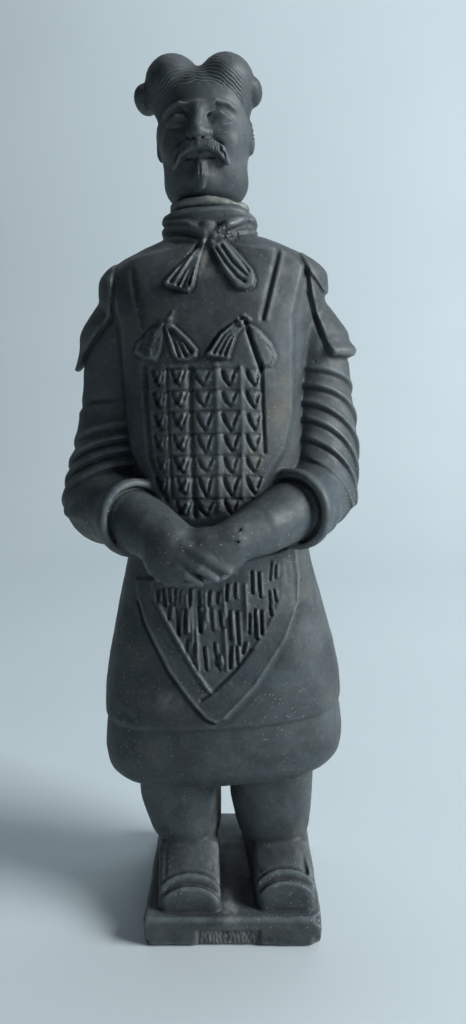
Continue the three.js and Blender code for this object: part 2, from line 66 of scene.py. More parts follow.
# Hand unevenness, each the width and the height of its lumps.
GRAIN = [(7.0, 0.10), (2.4, 0.05), (1.0, 0.03)]
HEAD_GRAIN = [(4.0, 0.05), (1.0, 0.02)]
FILLER_GRAIN = [(1.5, 0.08), (0.6, 0.03)]


# ---------------------------------------------------------------- sculpting tools

def smooth_step(value, low, high):
    """0 below low, 1 above high, and a smooth climb between."""
    t = np.clip((value - low) / (high - low), 0, 1)
    return t * t * (3 - 2 * t)


def smooth_min(a, b, blend):
    """The union of two distances, with a fillet about as wide as blend."""
    share = np.maximum(blend - np.abs(a - b), 0) / blend
    return np.minimum(a, b) - share * share * (blend * 0.25)


def smooth_max(a, b, blend):
    return -smooth_min(-a, -b, blend)


def ball(x, y, z, centre, radii):
    """Distance to an ellipsoid, near its surface."""
    u, v, w = (x - centre[0]) / radii[0], (y - centre[1]) / radii[1], (z - centre[2]) / radii[2]
    reach = np.sqrt(u * u + v * v + w * w) + 1e-6
    slope = np.sqrt((u / radii[0]) ** 2 + (v / radii[1]) ** 2 + (w / radii[2]) ** 2) + 1e-6
    return reach * (reach - 1) / slope


def bar(x, y, z, path, radii):
    """Distance to a round bar along a path, whose radius changes from point to point."""
    nearest = None
    for a, b, ra, rb in zip(path, path[1:], radii, radii[1:]):
        along = [q - p for p, q in zip(a, b)]
        length2 = sum(c * c for c in along)
        t = ((x - a[0]) * along[0] + (y - a[1]) * along[1] + (z - a[2]) * along[2]) / length2
        t = np.clip(t, 0, 1)
        gap = np.sqrt((x - a[0] - t * along[0]) ** 2 + (y - a[1] - t * along[1]) ** 2
                      + (z - a[2] - t * along[2]) ** 2) - (ra + (rb - ra) * t)
        nearest = gap if nearest is None else np.minimum(nearest, gap)
    return nearest


def ring(x, y, half, front, back):
    """Distance to a rounded-square section, whose front and back depths differ."""
    depth = np.where(y < 0, front, back)
    u = np.abs(x) / half
    v = np.abs(y) / depth
    pu, pv = u * np.sqrt(u), v * np.sqrt(v)
    reach = np.maximum(pu * u + pv * v, 1e-3) ** 0.4
    slope = np.sqrt((pu / half) ** 2 + (pv / depth) ** 2) * reach ** -1.5
    return (reach - 1) / np.maximum(slope, 0.02)


def block(x, y, z, centre, half, edge):
    """Distance to a box with rounded edges."""
    q = [np.abs(c - m) - (h - edge) for c, m, h in zip((x, y, z), centre, half)]
    outside = np.sqrt(sum(np.maximum(c, 0) ** 2 for c in q))
    return outside + np.minimum(np.maximum(np.maximum(q[0], q[1]), q[2]), 0) - edge


def table(rows, rounding=1.2):
    """Rows of numbers, the first of each a height, resampled finely and with their corners rounded."""
    rows = np.array(rows, float)
    step = 0.25
    heights = np.arange(rows[0, 0], rows[-1, 0] + step, step)
    reach = int(3 * rounding / step)
    kernel = np.exp(-0.5 * (np.arange(-reach, reach + 1) * step / rounding) ** 2)
    kernel /= kernel.sum()
    columns = []
    for column in rows.T[1:]:
        line = np.pad(np.interp(heights, rows[:, 0], column), reach, mode="reflect", reflect_type="odd")
        columns.append(np.convolve(line, kernel, mode="valid"))
    return heights, columns


def at_height(sampled, height):
    heights, columns = sampled
    return [np.interp(height, heights, column).astype(np.float32) for column in columns]


class Clay:
    """A block of space sampled on a grid. Each cell holds its distance to the clay, negative inside."""

    def __init__(self, low, high, cell):
        self.low = np.array(low, np.float32)
        self.cell = cell
        self.shape = tuple(int(math.ceil((h - l) / cell)) + 1 for l, h in zip(low, high))
        self.d = np.full(self.shape, FAR, np.float32)

    def window(self, low, high):
        """The part of the grid inside a box: its slices, and its x, y and z."""
        slices, axes = [], []
        for k in range(3):
            first = max(int((low[k] - self.low[k]) / self.cell), 0)
            last = min(int((high[k] - self.low[k]) / self.cell) + 2, self.shape[k])
            slices.append(slice(first, last))
            line = (self.low[k] + self.cell * np.arange(first, last)).astype(np.float32)
            axes.append(line.reshape([-1 if j == k else 1 for j in range(3)]))
        return tuple(slices), axes

    def add(self, low, high, shape, blend):
        where, (x, y, z) = self.window(low, high)
        self.d[where] = smooth_min(self.d[where], shape(x, y, z), blend)

    def cut(self, low, high, shape, blend):
        where, (x, y, z) = self.window(low, high)
        self.d[where] = smooth_max(self.d[where], -shape(x, y, z), blend)

    def add_ball(self, centre, radii, blend):
        low = [c - r - blend - 1 for c, r in zip(centre, radii)]
        high = [c + r + blend + 1 for c, r in zip(centre, radii)]
        self.add(low, high, lambda x, y, z: ball(x, y, z, centre, radii), blend)

    def cut_ball(self, centre, radii, blend):
        low = [c - r - blend - 1 for c, r in zip(centre, radii)]
        high = [c + r + blend + 1 for c, r in zip(centre, radii)]
        self.cut(low, high, lambda x, y, z: ball(x, y, z, centre, radii), blend)

    def reach(self, path, radii, blend):
        spread = max(radii) + blend + 1
        return ([min(p[k] for p in path) - spread for k in range(3)],
                [max(p[k] for p in path) + spread for k in range(3)])

    def add_bar(self, path, radii, blend):
        low, high = self.reach(path, radii, blend)
        self.add(low, high, lambda x, y, z: bar(x, y, z, path, radii), blend)

    def cut_bar(self, path, radii, blend):
        low, high = self.reach(path, radii, blend)
        self.cut(low, high, lambda x, y, z: bar(x, y, z, path, radii), blend)

    def sample(self, field, points):
        """A field of the grid read at points, between its cells."""
        place = (points - self.low) / self.cell
        base = np.clip(np.floor(place).astype(int), 0, np.array(field.shape) - 2)
        part = np.clip(place - base, 0, 1)
        total = np.zeros(len(points), np.float32)
        for i in (0, 1):
            for j in (0, 1):
                for k in (0, 1):
                    weight = (np.where(i, part[:, 0], 1 - part[:, 0])
                              * np.where(j, part[:, 1], 1 - part[:, 1])
                              * np.where(k, part[:, 2], 1 - part[:, 2]))
                    total += weight * field[base[:, 0] + i, base[:, 1] + j, base[:, 2] + k]
        return total

    def surface(self):
        """The clay's surface: points in millimetres, and quads."""
        grid = vdb.FloatGrid(background=FAR)
        grid.copyFromArray(np.clip(self.d, -FAR, FAR))
        points, quads = grid.convertToQuads(isovalue=0.0)
        return points * self.cell + self.low, quads

    def hollows(self, spread):
        """Each cell's distance less the mean around it: above 0 in hollows, below 0 on edges."""
        blurred = self.d
        for axis in range(3):
            total = np.cumsum(blurred, axis=axis, dtype=np.float32)
            ahead = np.roll(total, -spread, axis=axis)
            behind = np.roll(total, spread + 1, axis=axis)
            blurred = (ahead - behind) / (2 * spread + 1)
        return self.d - blurred


class Relief:
    """Heights carved on the front of the body, seen square on: one height for each x and z of the grid."""

    def __init__(self, clay):
        where, (x, _, z) = clay.window(clay.low, clay.low + clay.cell * np.array(clay.shape))
        self.x = x[:, :, 0]
        self.z = z[0]
        self.h = np.zeros((self.x.shape[0], self.z.shape[1]), np.float32)

    def gap(self, points):
        """Distance to a line through points."""
        nearest = None
        for (ax, az), (bx, bz) in zip(points, points[1:]):
            dx, dz = bx - ax, bz - az
            t = np.clip(((self.x - ax) * dx + (self.z - az) * dz) / (dx * dx + dz * dz), 0, 1)
            gap = np.hypot(self.x - ax - t * dx, self.z - az - t * dz)
            nearest = gap if nearest is None else np.minimum(nearest, gap)
        return nearest

    def line(self, points, width, height):
        """A rounded ridge, or a groove where height is below 0."""
        self.h += height * np.exp(-(self.gap(points) / width) ** 2)

    def inside(self, outline, soft):
        """1 inside an outline, 0 outside, and soft wide between."""
        closed = list(outline) + [outline[0]]
        odd = np.zeros(self.h.shape, bool)
        for (ax, az), (bx, bz) in zip(closed, closed[1:]):
            if az == bz:
                continue
            crosses = (self.z < az) != (self.z < bz)
            odd ^= crosses & (self.x < ax + (self.z - az) * (bx - ax) / (bz - az))
        gap = np.where(odd, 1, -1) * self.gap(closed)
        return smooth_step(gap, -soft / 2, soft / 2)

    def raised(self, outline, height, soft):
        self.h += height * self.inside(outline, soft)


def wobble(points, scale, seed):
    """Smooth noise from -1 to 1 at points, whose lumps are about scale wide."""
    place = points / scale
    base = np.floor(place).astype(np.int64)
    part = place - base
    part = part * part * (3 - 2 * part)
    total = np.zeros(len(points))
    for i in (0, 1):
        for j in (0, 1):
            for k in (0, 1):
                mixed = ((base[:, 0] + i) * 73856093 ^ (base[:, 1] + j) * 19349663
                         ^ (base[:, 2] + k) * 83492791 ^ seed * 2654435761)
                mixed = (mixed ^ (mixed >> 13)) * 1274126177
                value = ((mixed ^ (mixed >> 16)) & 65535) / 32767.5 - 1
                weight = (np.where(i, part[:, 0], 1 - part[:, 0]) * np.where(j, part[:, 1], 1 - part[:, 1])
                          * np.where(k, part[:, 2], 1 - part[:, 2]))
                total += weight * value
    return total


def largest_shell(points, faces):
    """The points and faces of the one shell that has the most points."""
    label = np.arange(len(points))
    a, b = faces.ravel(), np.roll(faces, -1, axis=1).ravel()
    while True:
        low = np.minimum(label[a], label[b])
        before = label.copy()
        np.minimum.at(label, a, low)
        np.minimum.at(label, b, low)
        label = label[label]
        if np.array_equal(before, label):
            break
    main = np.bincount(label).argmax()
    keep = label == main
    number = np.cumsum(keep) - 1
    return points[keep], number[faces[keep[faces[:, 0]]]]


def mesh_object(name, points, faces):
    mesh = bpy.data.meshes.new(name)
    mesh.vertices.add(len(points))
    mesh.vertices.foreach_set("co", np.asarray(points, np.float32).ravel())
    size = faces.shape[1]
    mesh.loops.add(faces.size)
    mesh.loops.foreach_set("vertex_index", faces.astype(np.int32).ravel())
    mesh.polygons.add(len(faces))
    mesh.polygons.foreach_set("loop_start", np.arange(0, faces.size, size, dtype=np.int32))
    mesh.update(calc_edges=True)
    mesh.shade_smooth()
    made = bpy.data.objects.new(name, mesh)
    bpy.context.scene.collection.objects.link(made)
    return made


def read_points(mesh, what="co"):
    values = np.zeros(len(mesh.vertices) * 3, np.float32)
    mesh.vertices.foreach_get(what, values)
    return values.reshape(-1, 3)


def modelled(name, clay, triangles, grain):
    """The clay as a mesh object in millimetres, a little uneven, with about so many triangles at most."""
    points, quads = clay.surface()
    # The clay's own quads face outwards. Turned round here, the faces and normals point inwards.
    rough = mesh_object(name + "_rough", points, quads[:, ::-1])
    normals = read_points(rough.data, "normal")
    uneven = sum(height * wobble(points, scale, SEED + i) for i, (scale, height) in enumerate(grain))
    points = points + normals * uneven[:, None]
    rough.data.vertices.foreach_set("co", points.astype(np.float32).ravel())
    thin = rough.modifiers.new("thin", "DECIMATE")
    thin.ratio = min(1.0, triangles / (2 * len(quads)))
    bpy.context.view_layer.update()
    shaped = bpy.data.meshes.new_from_object(rough.evaluated_get(bpy.context.evaluated_depsgraph_get()))
    bpy.data.objects.remove(rough)
    shaped.calc_loop_triangles()
    faces = np.zeros(len(shaped.loop_triangles) * 3, np.int32)
    shaped.loop_triangles.foreach_get("vertices", faces)
    points, faces = largest_shell(read_points(shaped), faces.reshape(-1, 3))
    return mesh_object(name, points, faces)


def mark(piece, name, values):
    """Keeps a number for every point of a piece, for its material."""
    attribute = piece.data.attributes.new(name, "FLOAT", "POINT")
    attribute.data.foreach_set("value", np.asarray(values, np.float32))


def place(piece, points):
    piece.data.vertices.foreach_set("co", (points * MM).astype(np.float32).ravel())
    piece.data.update()


# ---------------------------------------------------------------- the robes and the torso

UNDER_ROBE = [(33.6, 22.5, 10.5, 13), (35.2, 26.2, 14.2, 16.5), (38.5, 28.6, 16.8, 19),
              (43, 29.2, 17.8, 19.8),
              (49, 28.6, 17.3, 19.3), (54, 27.4, 16.6, 18.6)]
COAT = [(50.5, 28.2, 17.5, 19.5), (51.4, 28.8, 18.1, 20), (58, 28.5, 17.8, 19.6), (66, 27, 17, 18.6),
        (76, 24.6, 16.2, 17.3), (88, 21.6, 15.6, 16.2), (104, 20, 16.2, 16.3), (126, 20.2, 16.7, 17),
        (140, 22.4, 16, 16.8), (147, 24.8, 14.8, 15.8), (151.5, 24.6, 13.2, 14.4), (154.5, 22.2, 11.8, 12.8),
        (157, 17.6, 10.4, 11.2), (159.5, 11.2, 9, 9.6)]
COLLAR = [(155, 11.2, 10.2, 10.6), (158.4, 11, 10.1, 10.2), (160, 10.2, 9.5, 9.6), (162, 10.2, 9.6, 9.6),
          (164, 9.9, 9.3, 9.3), (165.4, 9.1, 8.6, 8.6)]
WRAP_FOLDS = [(164.2, 0.2, 0.55, 0.6), (162.6, 0.8, 0.6, 0.5), (160.7, 1.3, 0.6, 0.55),
              (158.6, 1.4, 0.55, 0.6),
              (157, 1.2, 0.35, 0.6)]


def slant(x, z):
    """How much higher the robes' rows run at x, to the right."""
    return x * (HEM_SLOPE * smooth_step(92 - z, 0, 40) + SHOULDER_SLOPE * smooth_step(z, 138, 154))


def robe(x, y, z, rows, rounding, edge):
    level = z - slant(x, z)
    half, front, back = at_height(table(rows, rounding), level)
    side = ring(x, y, half, front, back)
    return smooth_max(side, np.maximum(level - rows[-1][0], rows[0][0] - level), edge)


def robes(clay, relief):
    low, high = (-36, -24, 48), (36, 22, 164)
    where, (x, y, z) = clay.window(low, high)
    coat = robe(x, y, z, COAT, 1.0, 1.2)
    carved = relief.h[where[0], where[2]][:, None, :] * smooth_step(-y, 1, 7)
    clay.d[where] = smooth_min(clay.d[where], coat - carved, 0.5)
    clay.add((-33, -22, 31), (33, 23, 58), lambda x, y, z: robe(x, y, z, UNDER_ROBE, 0.8, 1.5), 0.5)


def collar(clay):
    def shape(x, y, z):
        half, front, back = at_height(table(COLLAR, 0.6), z)
        side = ring(x + 0.2, y, half, front, back)
        turn = np.arctan2(x + 0.2, -y)
        for level, fall, height, width in WRAP_FOLDS:
            crest = level - fall * np.exp(-(turn / 0.55) ** 2) + 0.5 * np.sin(2.3 * turn + level)
            side = side - height * np.exp(-((z - crest) / width) ** 2)
        side = side + 0.35 * np.exp(-((turn - 0.95) / 0.07) ** 2)
        rim = 165.2 + 0.35 * np.sin(turn * 2 + 0.6) + 0.6 * np.exp(-((turn - 0.85) / 0.3) ** 2)
        return smooth_max(side, np.maximum(z - rim, 155 - z), 1.0)
    clay.add((-14, -13, 153), (14, 13, 168), shape, 1.0)
    clay.cut((-9, -9, 160), (9, 9, 168.5),
             lambda x, y, z: np.maximum(np.hypot(x + 0.2, y) - 6.6, 161 - z), 0.4)


def scarf_wraps(clay):
    """The scarf's knot under the chin and the two tucks that run to it."""
    clay.add_ball((-0.4, -10, 159.6), (1.8, 1.3, 2.3), 0.9)
    clay.add_bar([(-7, -7.8, 161.6), (-3.8, -9.8, 160.6), (-1, -10.6, 159.2)], [0.5, 0.9, 0.7], 0.8)
    clay.add_bar([(7.4, -7.6, 162.6), (4, -9.8, 161), (0.8, -10.7, 158.8)], [0.6, 1.0, 0.8], 0.8)
    clay.cut_bar([(4.4, -11.4, 160.2), (1.4, -12.2, 157.4)], [0.2, 0.35], 0.5)
    clay.cut_bar([(-4.6, -11.2, 159.4), (-1.4, -12.2, 157.6)], [0.2, 0.3], 0.5)


# ---------------------------------------------------------------- carving on the front

V_COLUMNS = [-11.6, -7, -2.3, 3.4, 8.3]
ROW_LINES = [130.9, 126.4, 122, 117.2, 112.6, 108.1, 103.2, 98.6]
VEST = [(14.6, 156.5), (20.2, 153), (17.4, 142), (17.2, 121), (15.4, 114), (11.2, 107.6), (8.4, 102.6),
        (3.6, 98.4), (-8.5, 98.2), (-12.6, 101.6), (-15.4, 106.6), (-19.2, 113.5), (-20.2, 120), (-20, 140),
        (-22.4, 150), (-17, 155), (0, 158)]


def vest(relief, rng):
    """The armour vest: its outline, its straps and its panel of plates."""
    relief.raised(VEST, 0.75, 1.5)
    relief.line([(14.6, 156), (12.9, 149.5), (10.7, 141.2)], 0.55, -0.55)
    relief.line([(15.5, 155.6), (13.8, 149.5), (11.6, 141.2)], 0.6, 0.3)
    relief.line([(-16.6, 151), (-15.6, 145), (-14.4, 140)], 0.6, -0.28)
    relief.line([(10.2, 132), (10.4, 123), (10.7, 113.2)], 0.34, -0.75)
    relief.line([(-14.5, 131.5), (-14.4, 123), (-14, 112), (-10.6, 103)], 0.5, -0.65)
    relief.line([(-4.6, 130.8), (-4.8, 118), (-4.6, 99.5)], 0.62, -0.85)
    relief.line([(-9.6, 131), (-9.7, 118), (-9.4, 104)], 0.4, -0.5)
    relief.line([(0.8, 131.5), (0.9, 117), (0.7, 101)], 0.75, 0.35)
    relief.line([(5.9, 131), (6.1, 117), (5.8, 104)], 0.6, 0.3)
    for z in ROW_LINES[:-1]:
        relief.line([(-9.6, z - 0.1), (-5.2, z), (-4.2, z + 0.05)], 0.22, -0.35)
        relief.line([(-4.2, z), (1.2, z + 0.1), (5.4, z)], 0.22, -0.38)
        relief.line([(6.4, z + 0.1), (9.8, z - 0.2)], 0.22, -0.22)
    for top, bottom in zip(ROW_LINES, ROW_LINES[1:]):
        for number, x in enumerate(V_COLUMNS):
            if bottom < 100 and number in (0, 4):
                continue
            middle = x + rng.uniform(-0.25, 0.25)
            head = top - 0.5 + rng.uniform(-0.2, 0.2)
            plate(relief, middle, head, bottom, number, rng)


def plate(relief, x, top, bottom, number, rng):
    """One plate of the panel: a lug between two slanted strokes."""
    foot = bottom + 1.0 + rng.uniform(-0.2, 0.3)
    wide = rng.uniform(1.25, 1.6) if number else 1.1
    lug = [(x - wide + 0.5, top - 0.2), (x + wide - 0.2, top - 0.2), (x + 0.2, foot + 0.3)]
    relief.raised(lug, 0.28, 0.8)
    long_stroke = [(x - wide, top), (x - wide * 0.6, top - 1.6), (x + 0.1, foot)]
    relief.line(long_stroke, 0.34, rng.uniform(-0.8, -0.5))
    short_stroke = [(x + wide, top - 0.1), (x + 0.7, foot + rng.uniform(0.8, 1.5))]
    relief.line(short_stroke, 0.26, rng.uniform(-0.5, -0.25))
    relief.line([(x + wide + 0.35, top - 0.5), (x + 1.1, foot + 0.5)], 0.3, 0.32)
    if number < 2:
        relief.line([(x + 0.2, top - 0.7), (x - 0.7, top - 2.3)], 0.3, -0.5)
        relief.line([(x + 0.9, top - 0.6), (x + 0.1, top - 2.6)], 0.32, 0.45)


BOW_RIGHT_FAN = [(6.9, 141), (4.4, 140.2), (1.8, 138), (-0.2, 135.2), (-1.4, 133.6), (0.4, 133.2),
                 (3.4, 132.7),
                 (3.9, 134.4), (5, 137.4), (6.6, 139.8)]
BOW_RIGHT_CUTS = [[(5.6, 140.1), (2.6, 137.6), (0.3, 134)], [(5.8, 139.7), (3.2, 137), (1.5, 133.8)],
                  [(6, 139.4), (4, 136.6), (2.6, 133.6)], [(5.2, 140.4), (1.6, 138), (-0.6, 134.6)]]
BOW_RIGHT_DROP = [(7.4, 140.2), (8.4, 137), (9.6, 134), (10.6, 131.4), (12.6, 131.2), (13.6, 133.4),
                  (12.4, 136), (10, 138.6)]
BOW_LEFT_FAN = [(-9.8, 139.8), (-9, 136.8), (-8.3, 133.8), (-7.2, 132.6), (-5.2, 132.4), (-3.2, 133.2),
                (-3.1, 134.8), (-5.2, 137.2), (-8.2, 140)]
BOW_LEFT_CUTS = [[(-8.9, 138.8), (-7.6, 135.6), (-6.9, 133.4)], [(-8.5, 138.8), (-6.6, 135.8), (-5.5, 133.4)],
                 [(-8.1, 138.8), (-5.8, 136.4), (-4.3, 134.2)]]
BOW_LEFT_DROP = [(-10, 140.2), (-13.4, 138.6), (-16.2, 136), (-16.8, 134.4), (-14.6, 133), (-11.8, 132.4),
                 (-10.6, 134.6), (-9.9, 137.6)]


def bows(relief):
    """The two bows that tie the vest."""
    tail(relief, BOW_RIGHT_FAN, 1.0, 0.45)
    for cut in BOW_RIGHT_CUTS:
        relief.line(cut, 0.3, -0.8)
    tail(relief, BOW_RIGHT_DROP, 0.4, 0.8)
    relief.line([(7.6, 139), (8.5, 136), (9.4, 133.2), (10.2, 131)], 0.4, -0.95)
    relief.line([(11.6, 135.6), (12.9, 133.9), (12.2, 131.8), (10.9, 131.5)], 0.22, -0.25)
    relief.line([(6.2, 141.1), (7.3, 140.3)], 0.45, -0.8)
    relief.line([(5.4, 140.7), (6.8, 141.8), (7.9, 140.8)], 0.4, 0.45)
    tail(relief, BOW_LEFT_FAN, 1.05, 0.5)
    for cut in BOW_LEFT_CUTS:
        relief.line(cut, 0.34, -0.8)
    tail(relief, BOW_LEFT_DROP, 0.7, 0.9)
    relief.line([(-11.6, 138.4), (-12.6, 136), (-13.1, 133.6)], 0.75, 0.6)
    relief.line([(-14.2, 137.8), (-15.2, 135.2)], 0.4, -0.4)
    relief.line([(-10.2, 139.9), (-9.2, 140.3)], 1.1, 0.9)
    relief.line([(-8.6, 141.2), (-7.9, 142.6)], 0.4, 0.35)


SCARF_LEFT = [(-1.2, 159), (-2.6, 156.2), (-5.6, 153), (-9.8, 148.6), (-9.3, 147.9), (-7.2, 147.4),
              (-4.6, 146.4), (-3.6, 147.8), (-3, 151), (-1.9, 155), (-0.6, 158)]
SCARF_LEFT_CUTS = [[(-2.2, 157.2), (-5.2, 153), (-8.3, 148.6)], [(-2, 157), (-4.3, 152.6), (-6.8, 148)],
                   [(-1.8, 156.8), (-3.7, 152.4), (-5.7, 147.6)], [(-1.6, 156.6), (-3.1, 152.2), (-4.6, 148)]]
SCARF_RIGHT = [(-0.4, 158), (0.9, 154.9), (2.4, 151.8), (4.2, 149), (5.6, 147.4), (7.2, 147),
               (8.9, 147.8), (9.3, 149.2), (8.7, 151.2), (6.6, 154), (4.4, 156.6), (2.4, 158.8)]
SCARF_RIGHT_CUTS = [[(1.2, 155.8), (3.2, 152.6), (5.6, 149.6), (7, 148.6)],
                    [(2.4, 156.4), (4.6, 152.8), (7.4, 150)],
                    [(3.6, 157), (6.4, 153.4), (8.2, 150.6)]]


def scarf(relief):
    """The scarf's tails: a fan of combed strands on the left, and a rounded loop on the right."""
    tail(relief, SCARF_LEFT, 1.15, 0.45)
    for cut in SCARF_LEFT_CUTS:
        relief.line(cut, 0.34, -0.85)
    tail(relief, SCARF_RIGHT, 1.25, 0.6)
    for cut in SCARF_RIGHT_CUTS:
        relief.line(cut, 0.36, -0.65)


def tail(relief, outline, lift, soft):
    """A cloth tail raised from the front, with a shallow shadow line round it."""
    body = relief.inside(outline, soft)
    relief.h += lift * body - 0.3 * np.exp(-(relief.gap(outline + outline[:1]) / 0.5) ** 2) * (1 - body)


APRON_OUTER = [(-18.8, 84), (-18.4, 79), (-17, 74.4), (-12, 64.4), (-6.9, 57.2), (-3.8, 53.6), (-1.9, 52.6),
               (0.6, 53.8), (7.8, 61.4), (14.8, 71.6), (17.8, 79), (18.3, 85), (17.6, 92)]
APRON_INNER = [(-15, 84), (-14.2, 80.5), (-9.8, 72.4), (-5.2, 64.2), (-2.2, 59.9), (3.4, 65), (7.2, 69.6),
               (10.6, 74.6), (13.4, 80.6), (14.6, 90)]
APRON_CUTS = {
    "top": [(-13.3, 82.6, 79.8), (-12.3, 82.8, 79), (-11, 83, 79.6), (-9.5, 83, 79.2), (-8.6, 82.6, 79.6),
            (-6.3, 83, 79.4), (-4.4, 82.6, 79.4), (-2, 82.6, 79.2), (-0.2, 82.4, 79.8), (1.9, 84.2, 80.4),
            (3.6, 84.4, 80.9), (7.4, 87, 82), (8.9, 86.6, 81), (11.8, 88.9, 84.6), (12.7, 88.2, 85),
            (11.2, 82.4, 79.6), (12.2, 82.6, 80)],
    "middle": [(-10.9, 79, 76), (-9.4, 78.4, 72.6), (-8.6, 78.4, 73.4), (-7.3, 78.6, 73), (-4.5, 79, 73.4),
               (-3.7, 78, 73.8), (-1.8, 78.6, 73.8), (0.1, 78.2, 74.4), (2.3, 78.2, 72), (3.9, 78, 70.6),
               (6.7, 77.4, 73), (7.9, 78.4, 71.8), (9.3, 78, 72.8), (11.2, 79, 77)],
    "low": [(-7.2, 71.6, 68.6), (-5.6, 70.8, 66.4), (-3.6, 70, 64.8), (-1.3, 71, 66), (-0.4, 68.4, 64.9),
            (2.5, 70, 65.2), (3.6, 70.2, 66), (5.6, 71, 68.4)],
}
APRON_RIBS = [(-7.1, 81.6, 73.6), (-6.2, 80, 66.8), (-5.1, 74, 65), (-2.9, 82, 76), (1.2, 74, 65),
              (1.1, 83, 77),
              (3.1, 77, 71), (6, 84, 74), (8.4, 77.6, 72.6), (0.3, 67.8, 66.4)]


def apron(relief, rng):
    """The pointed apron in front: a border of two lines, and cut tassels inside it."""
    inner = relief.inside(APRON_INNER, 0.5)
    relief.h += 0.45 * relief.inside(APRON_OUTER, 0.6) - 0.15 * inner
    relief.line(APRON_OUTER[1:7], 0.34, -0.75)
    relief.line([(x + 0.5, z + 0.3) for x, z in APRON_OUTER[1:7]], 0.4, 0.25)
    relief.line(APRON_OUTER[7:], 0.5, 0.3)
    relief.line([(x + 0.9, z - 0.8) for x, z in APRON_OUTER[6:11]], 0.6, -0.2)
    relief.line(APRON_INNER[:5], 0.42, 0.55)
    relief.line([(x - 0.65, z - 0.4) for x, z in APRON_INNER[1:5]], 0.3, -0.25)
    relief.line([(-4.6, 58), (-2.4, 59.4), (3.4, 64.9), (6.9, 69.4)], 0.3, -0.6)
    relief.line([(x + 0.7, z + 0.4) for x, z in APRON_INNER[6:9]], 0.5, 0.2)
    for cuts in APRON_CUTS.values():
        for x, top, bottom in cuts:
            drift = rng.uniform(-0.35, 0.35)
            relief.line([(x, top), (x + drift, (top + bottom) / 2), (x + drift * 1.6, bottom)],
                        rng.uniform(0.2, 0.36), rng.uniform(-0.85, -0.4))
            relief.line([(x + 0.65, top - 0.2), (x + 0.65 + drift, bottom + 0.6)], 0.24, 0.35)
    for x, top, bottom in APRON_RIBS:
        relief.line([(x, top), (x + 0.3, bottom)], 0.34, 0.5)
    relief.line([(-11.5, 84.6), (-8, 84), (-1, 85.2), (3.8, 87)], 0.5, 0.4)


def hem(relief):
    """Dents and soft folds low on the skirt."""
    relief.line([(-27, 54), (-20, 52.2)], 1.2, -0.2)
    relief.line([(-10.6, 58.6), (-12, 57.2)], 0.5, -0.25)
    relief.line([(16, 92), (17.6, 78)], 0.7, -0.22)
    relief.line([(14.8, 92), (15.6, 84)], 0.5, -0.22)


# ---------------------------------------------------------------- arms

ARMS = {
    "left": {
        "side": -1,
        "upper": [(98, 24.8, -3.4, 10.3), (100.8, 25.2, -3, 10.3), (107, 25, -1, 9.6), (114, 24.3, 1, 9),
                  (127, 23, 1.5, 7.6), (139, 21.6, 1.5, 8.6), (148, 17.5, 1, 6.2), (151, 16.4, 1, 5)],
        "elbow": ((-25.2, -3, 100.8), (10.2, 10.2, 10.2)),
        "lower": ([(-25.2, -3, 100.8), (-20.6, -11.5, 99), (-16.6, -17, 98.8)], [9.6, 8, 8.6]),
        "mouth": ((-17.6, -15.8, 98.8), (0.6, -0.8, -0.03), 8.3),
        "forearm": ([(-19, -13, 98.5), (-13, -20, 96.3), (-9, -24, 94.6)], [6.9, 6.2, 5.4]),
        "folds": [(124.6, 1.6, -0.35, 0.8, 1.9), (119.4, 3.4, 0.4, 0.9, 2.5), (116.2, 4.6, 0.75, 0.75, 2.9),
                  (113.4, 5.6, 0.8, 0.8, 2.9), (110.2, 6.4, 0.95, 0.9, 2.9), (106.6, 6.6, 0.5, 0.9, 2.0)],
        "plate": [(-21, 158), (-21, 152), (-21.4, 148), (-22.2, 142.6), (-28.8, 135), (-31.8, 130.4),
                  (-38, 130),
                  (-38, 158)],
        "lip": [(-25.6, 138.6), (-28.8, 134.8), (-31.6, 131.2), (-36, 130.8)],
    },
    "right": {
        "side": 1,
        "upper": [(100, 22.6, -3.4, 9.4), (103.6, 22.8, -3, 9.4), (109, 23.8, -1.4, 9.1),
                  (116, 24.2, 0.5, 8.8),
                  (127, 24, 1.5, 7.8), (139, 22, 1.5, 8.8), (148, 17.5, 1, 6.2), (151, 16.4, 1, 5)],
        "elbow": ((22.8, -3, 103.6), (9.4, 9.4, 9.4)),
        "lower": ([(22.8, -3, 103.6), (20, -10.5, 101), (16.2, -16, 100.6)], [8.8, 8, 8.7]),
        "mouth": ((16.8, -15.2, 100.6), (-0.6, -0.8, -0.04), 8.5),
        "forearm": ([(17, -13, 100.5), (10, -19.5, 97.6), (3.5, -24, 95.4)], [6.9, 5.9, 4.7]),
        "folds": [(131.8, 3.2, 0.5, 0.7, 2.4), (128.1, 5.4, 0.65, 0.7, 2.5), (124.2, 8, 0.65, 0.7, 2.5),
                  (120.6, 9.8, 0.6, 0.7, 2.4), (116.2, 11, 0.65, 0.7, 2.3), (111.8, 12.4, 0.6, 0.75, 2.2)],
        "plate": [(20.4, 160), (20.6, 154), (21.4, 147), (23.8, 140), (25.6, 135.6), (26.6, 134), (32.8, 134),
                  (40, 134.4), (40, 160)],
        "lip": [(26.8, 135), (29.5, 135.2), (33, 135.6), (38, 135.8)],
    },
}


def fold_height(angle, z, folds):
    """Folds that run down round the arm from its inner front to its outer side. Angle 0 is the outer side."""
    total = 0
    turn = np.clip((2.2 - angle) / 1.7, 0, 1.7)
    for inner, drop, height, width, life in folds:
        crest = inner - drop * turn ** 2
        gap = (z - crest) / (width * (1 + 0.3 * turn))
        alive = smooth_step(angle, -0.9, 0.3) * smooth_step(life - angle, 0, 0.5)
        total = total + height * alive * (np.exp(-np.where(gap > 0, gap * 0.75, gap * 1.6) ** 2)
                                          - 0.5 * np.exp(-((gap + 1.2) / 0.75) ** 2))
    return total


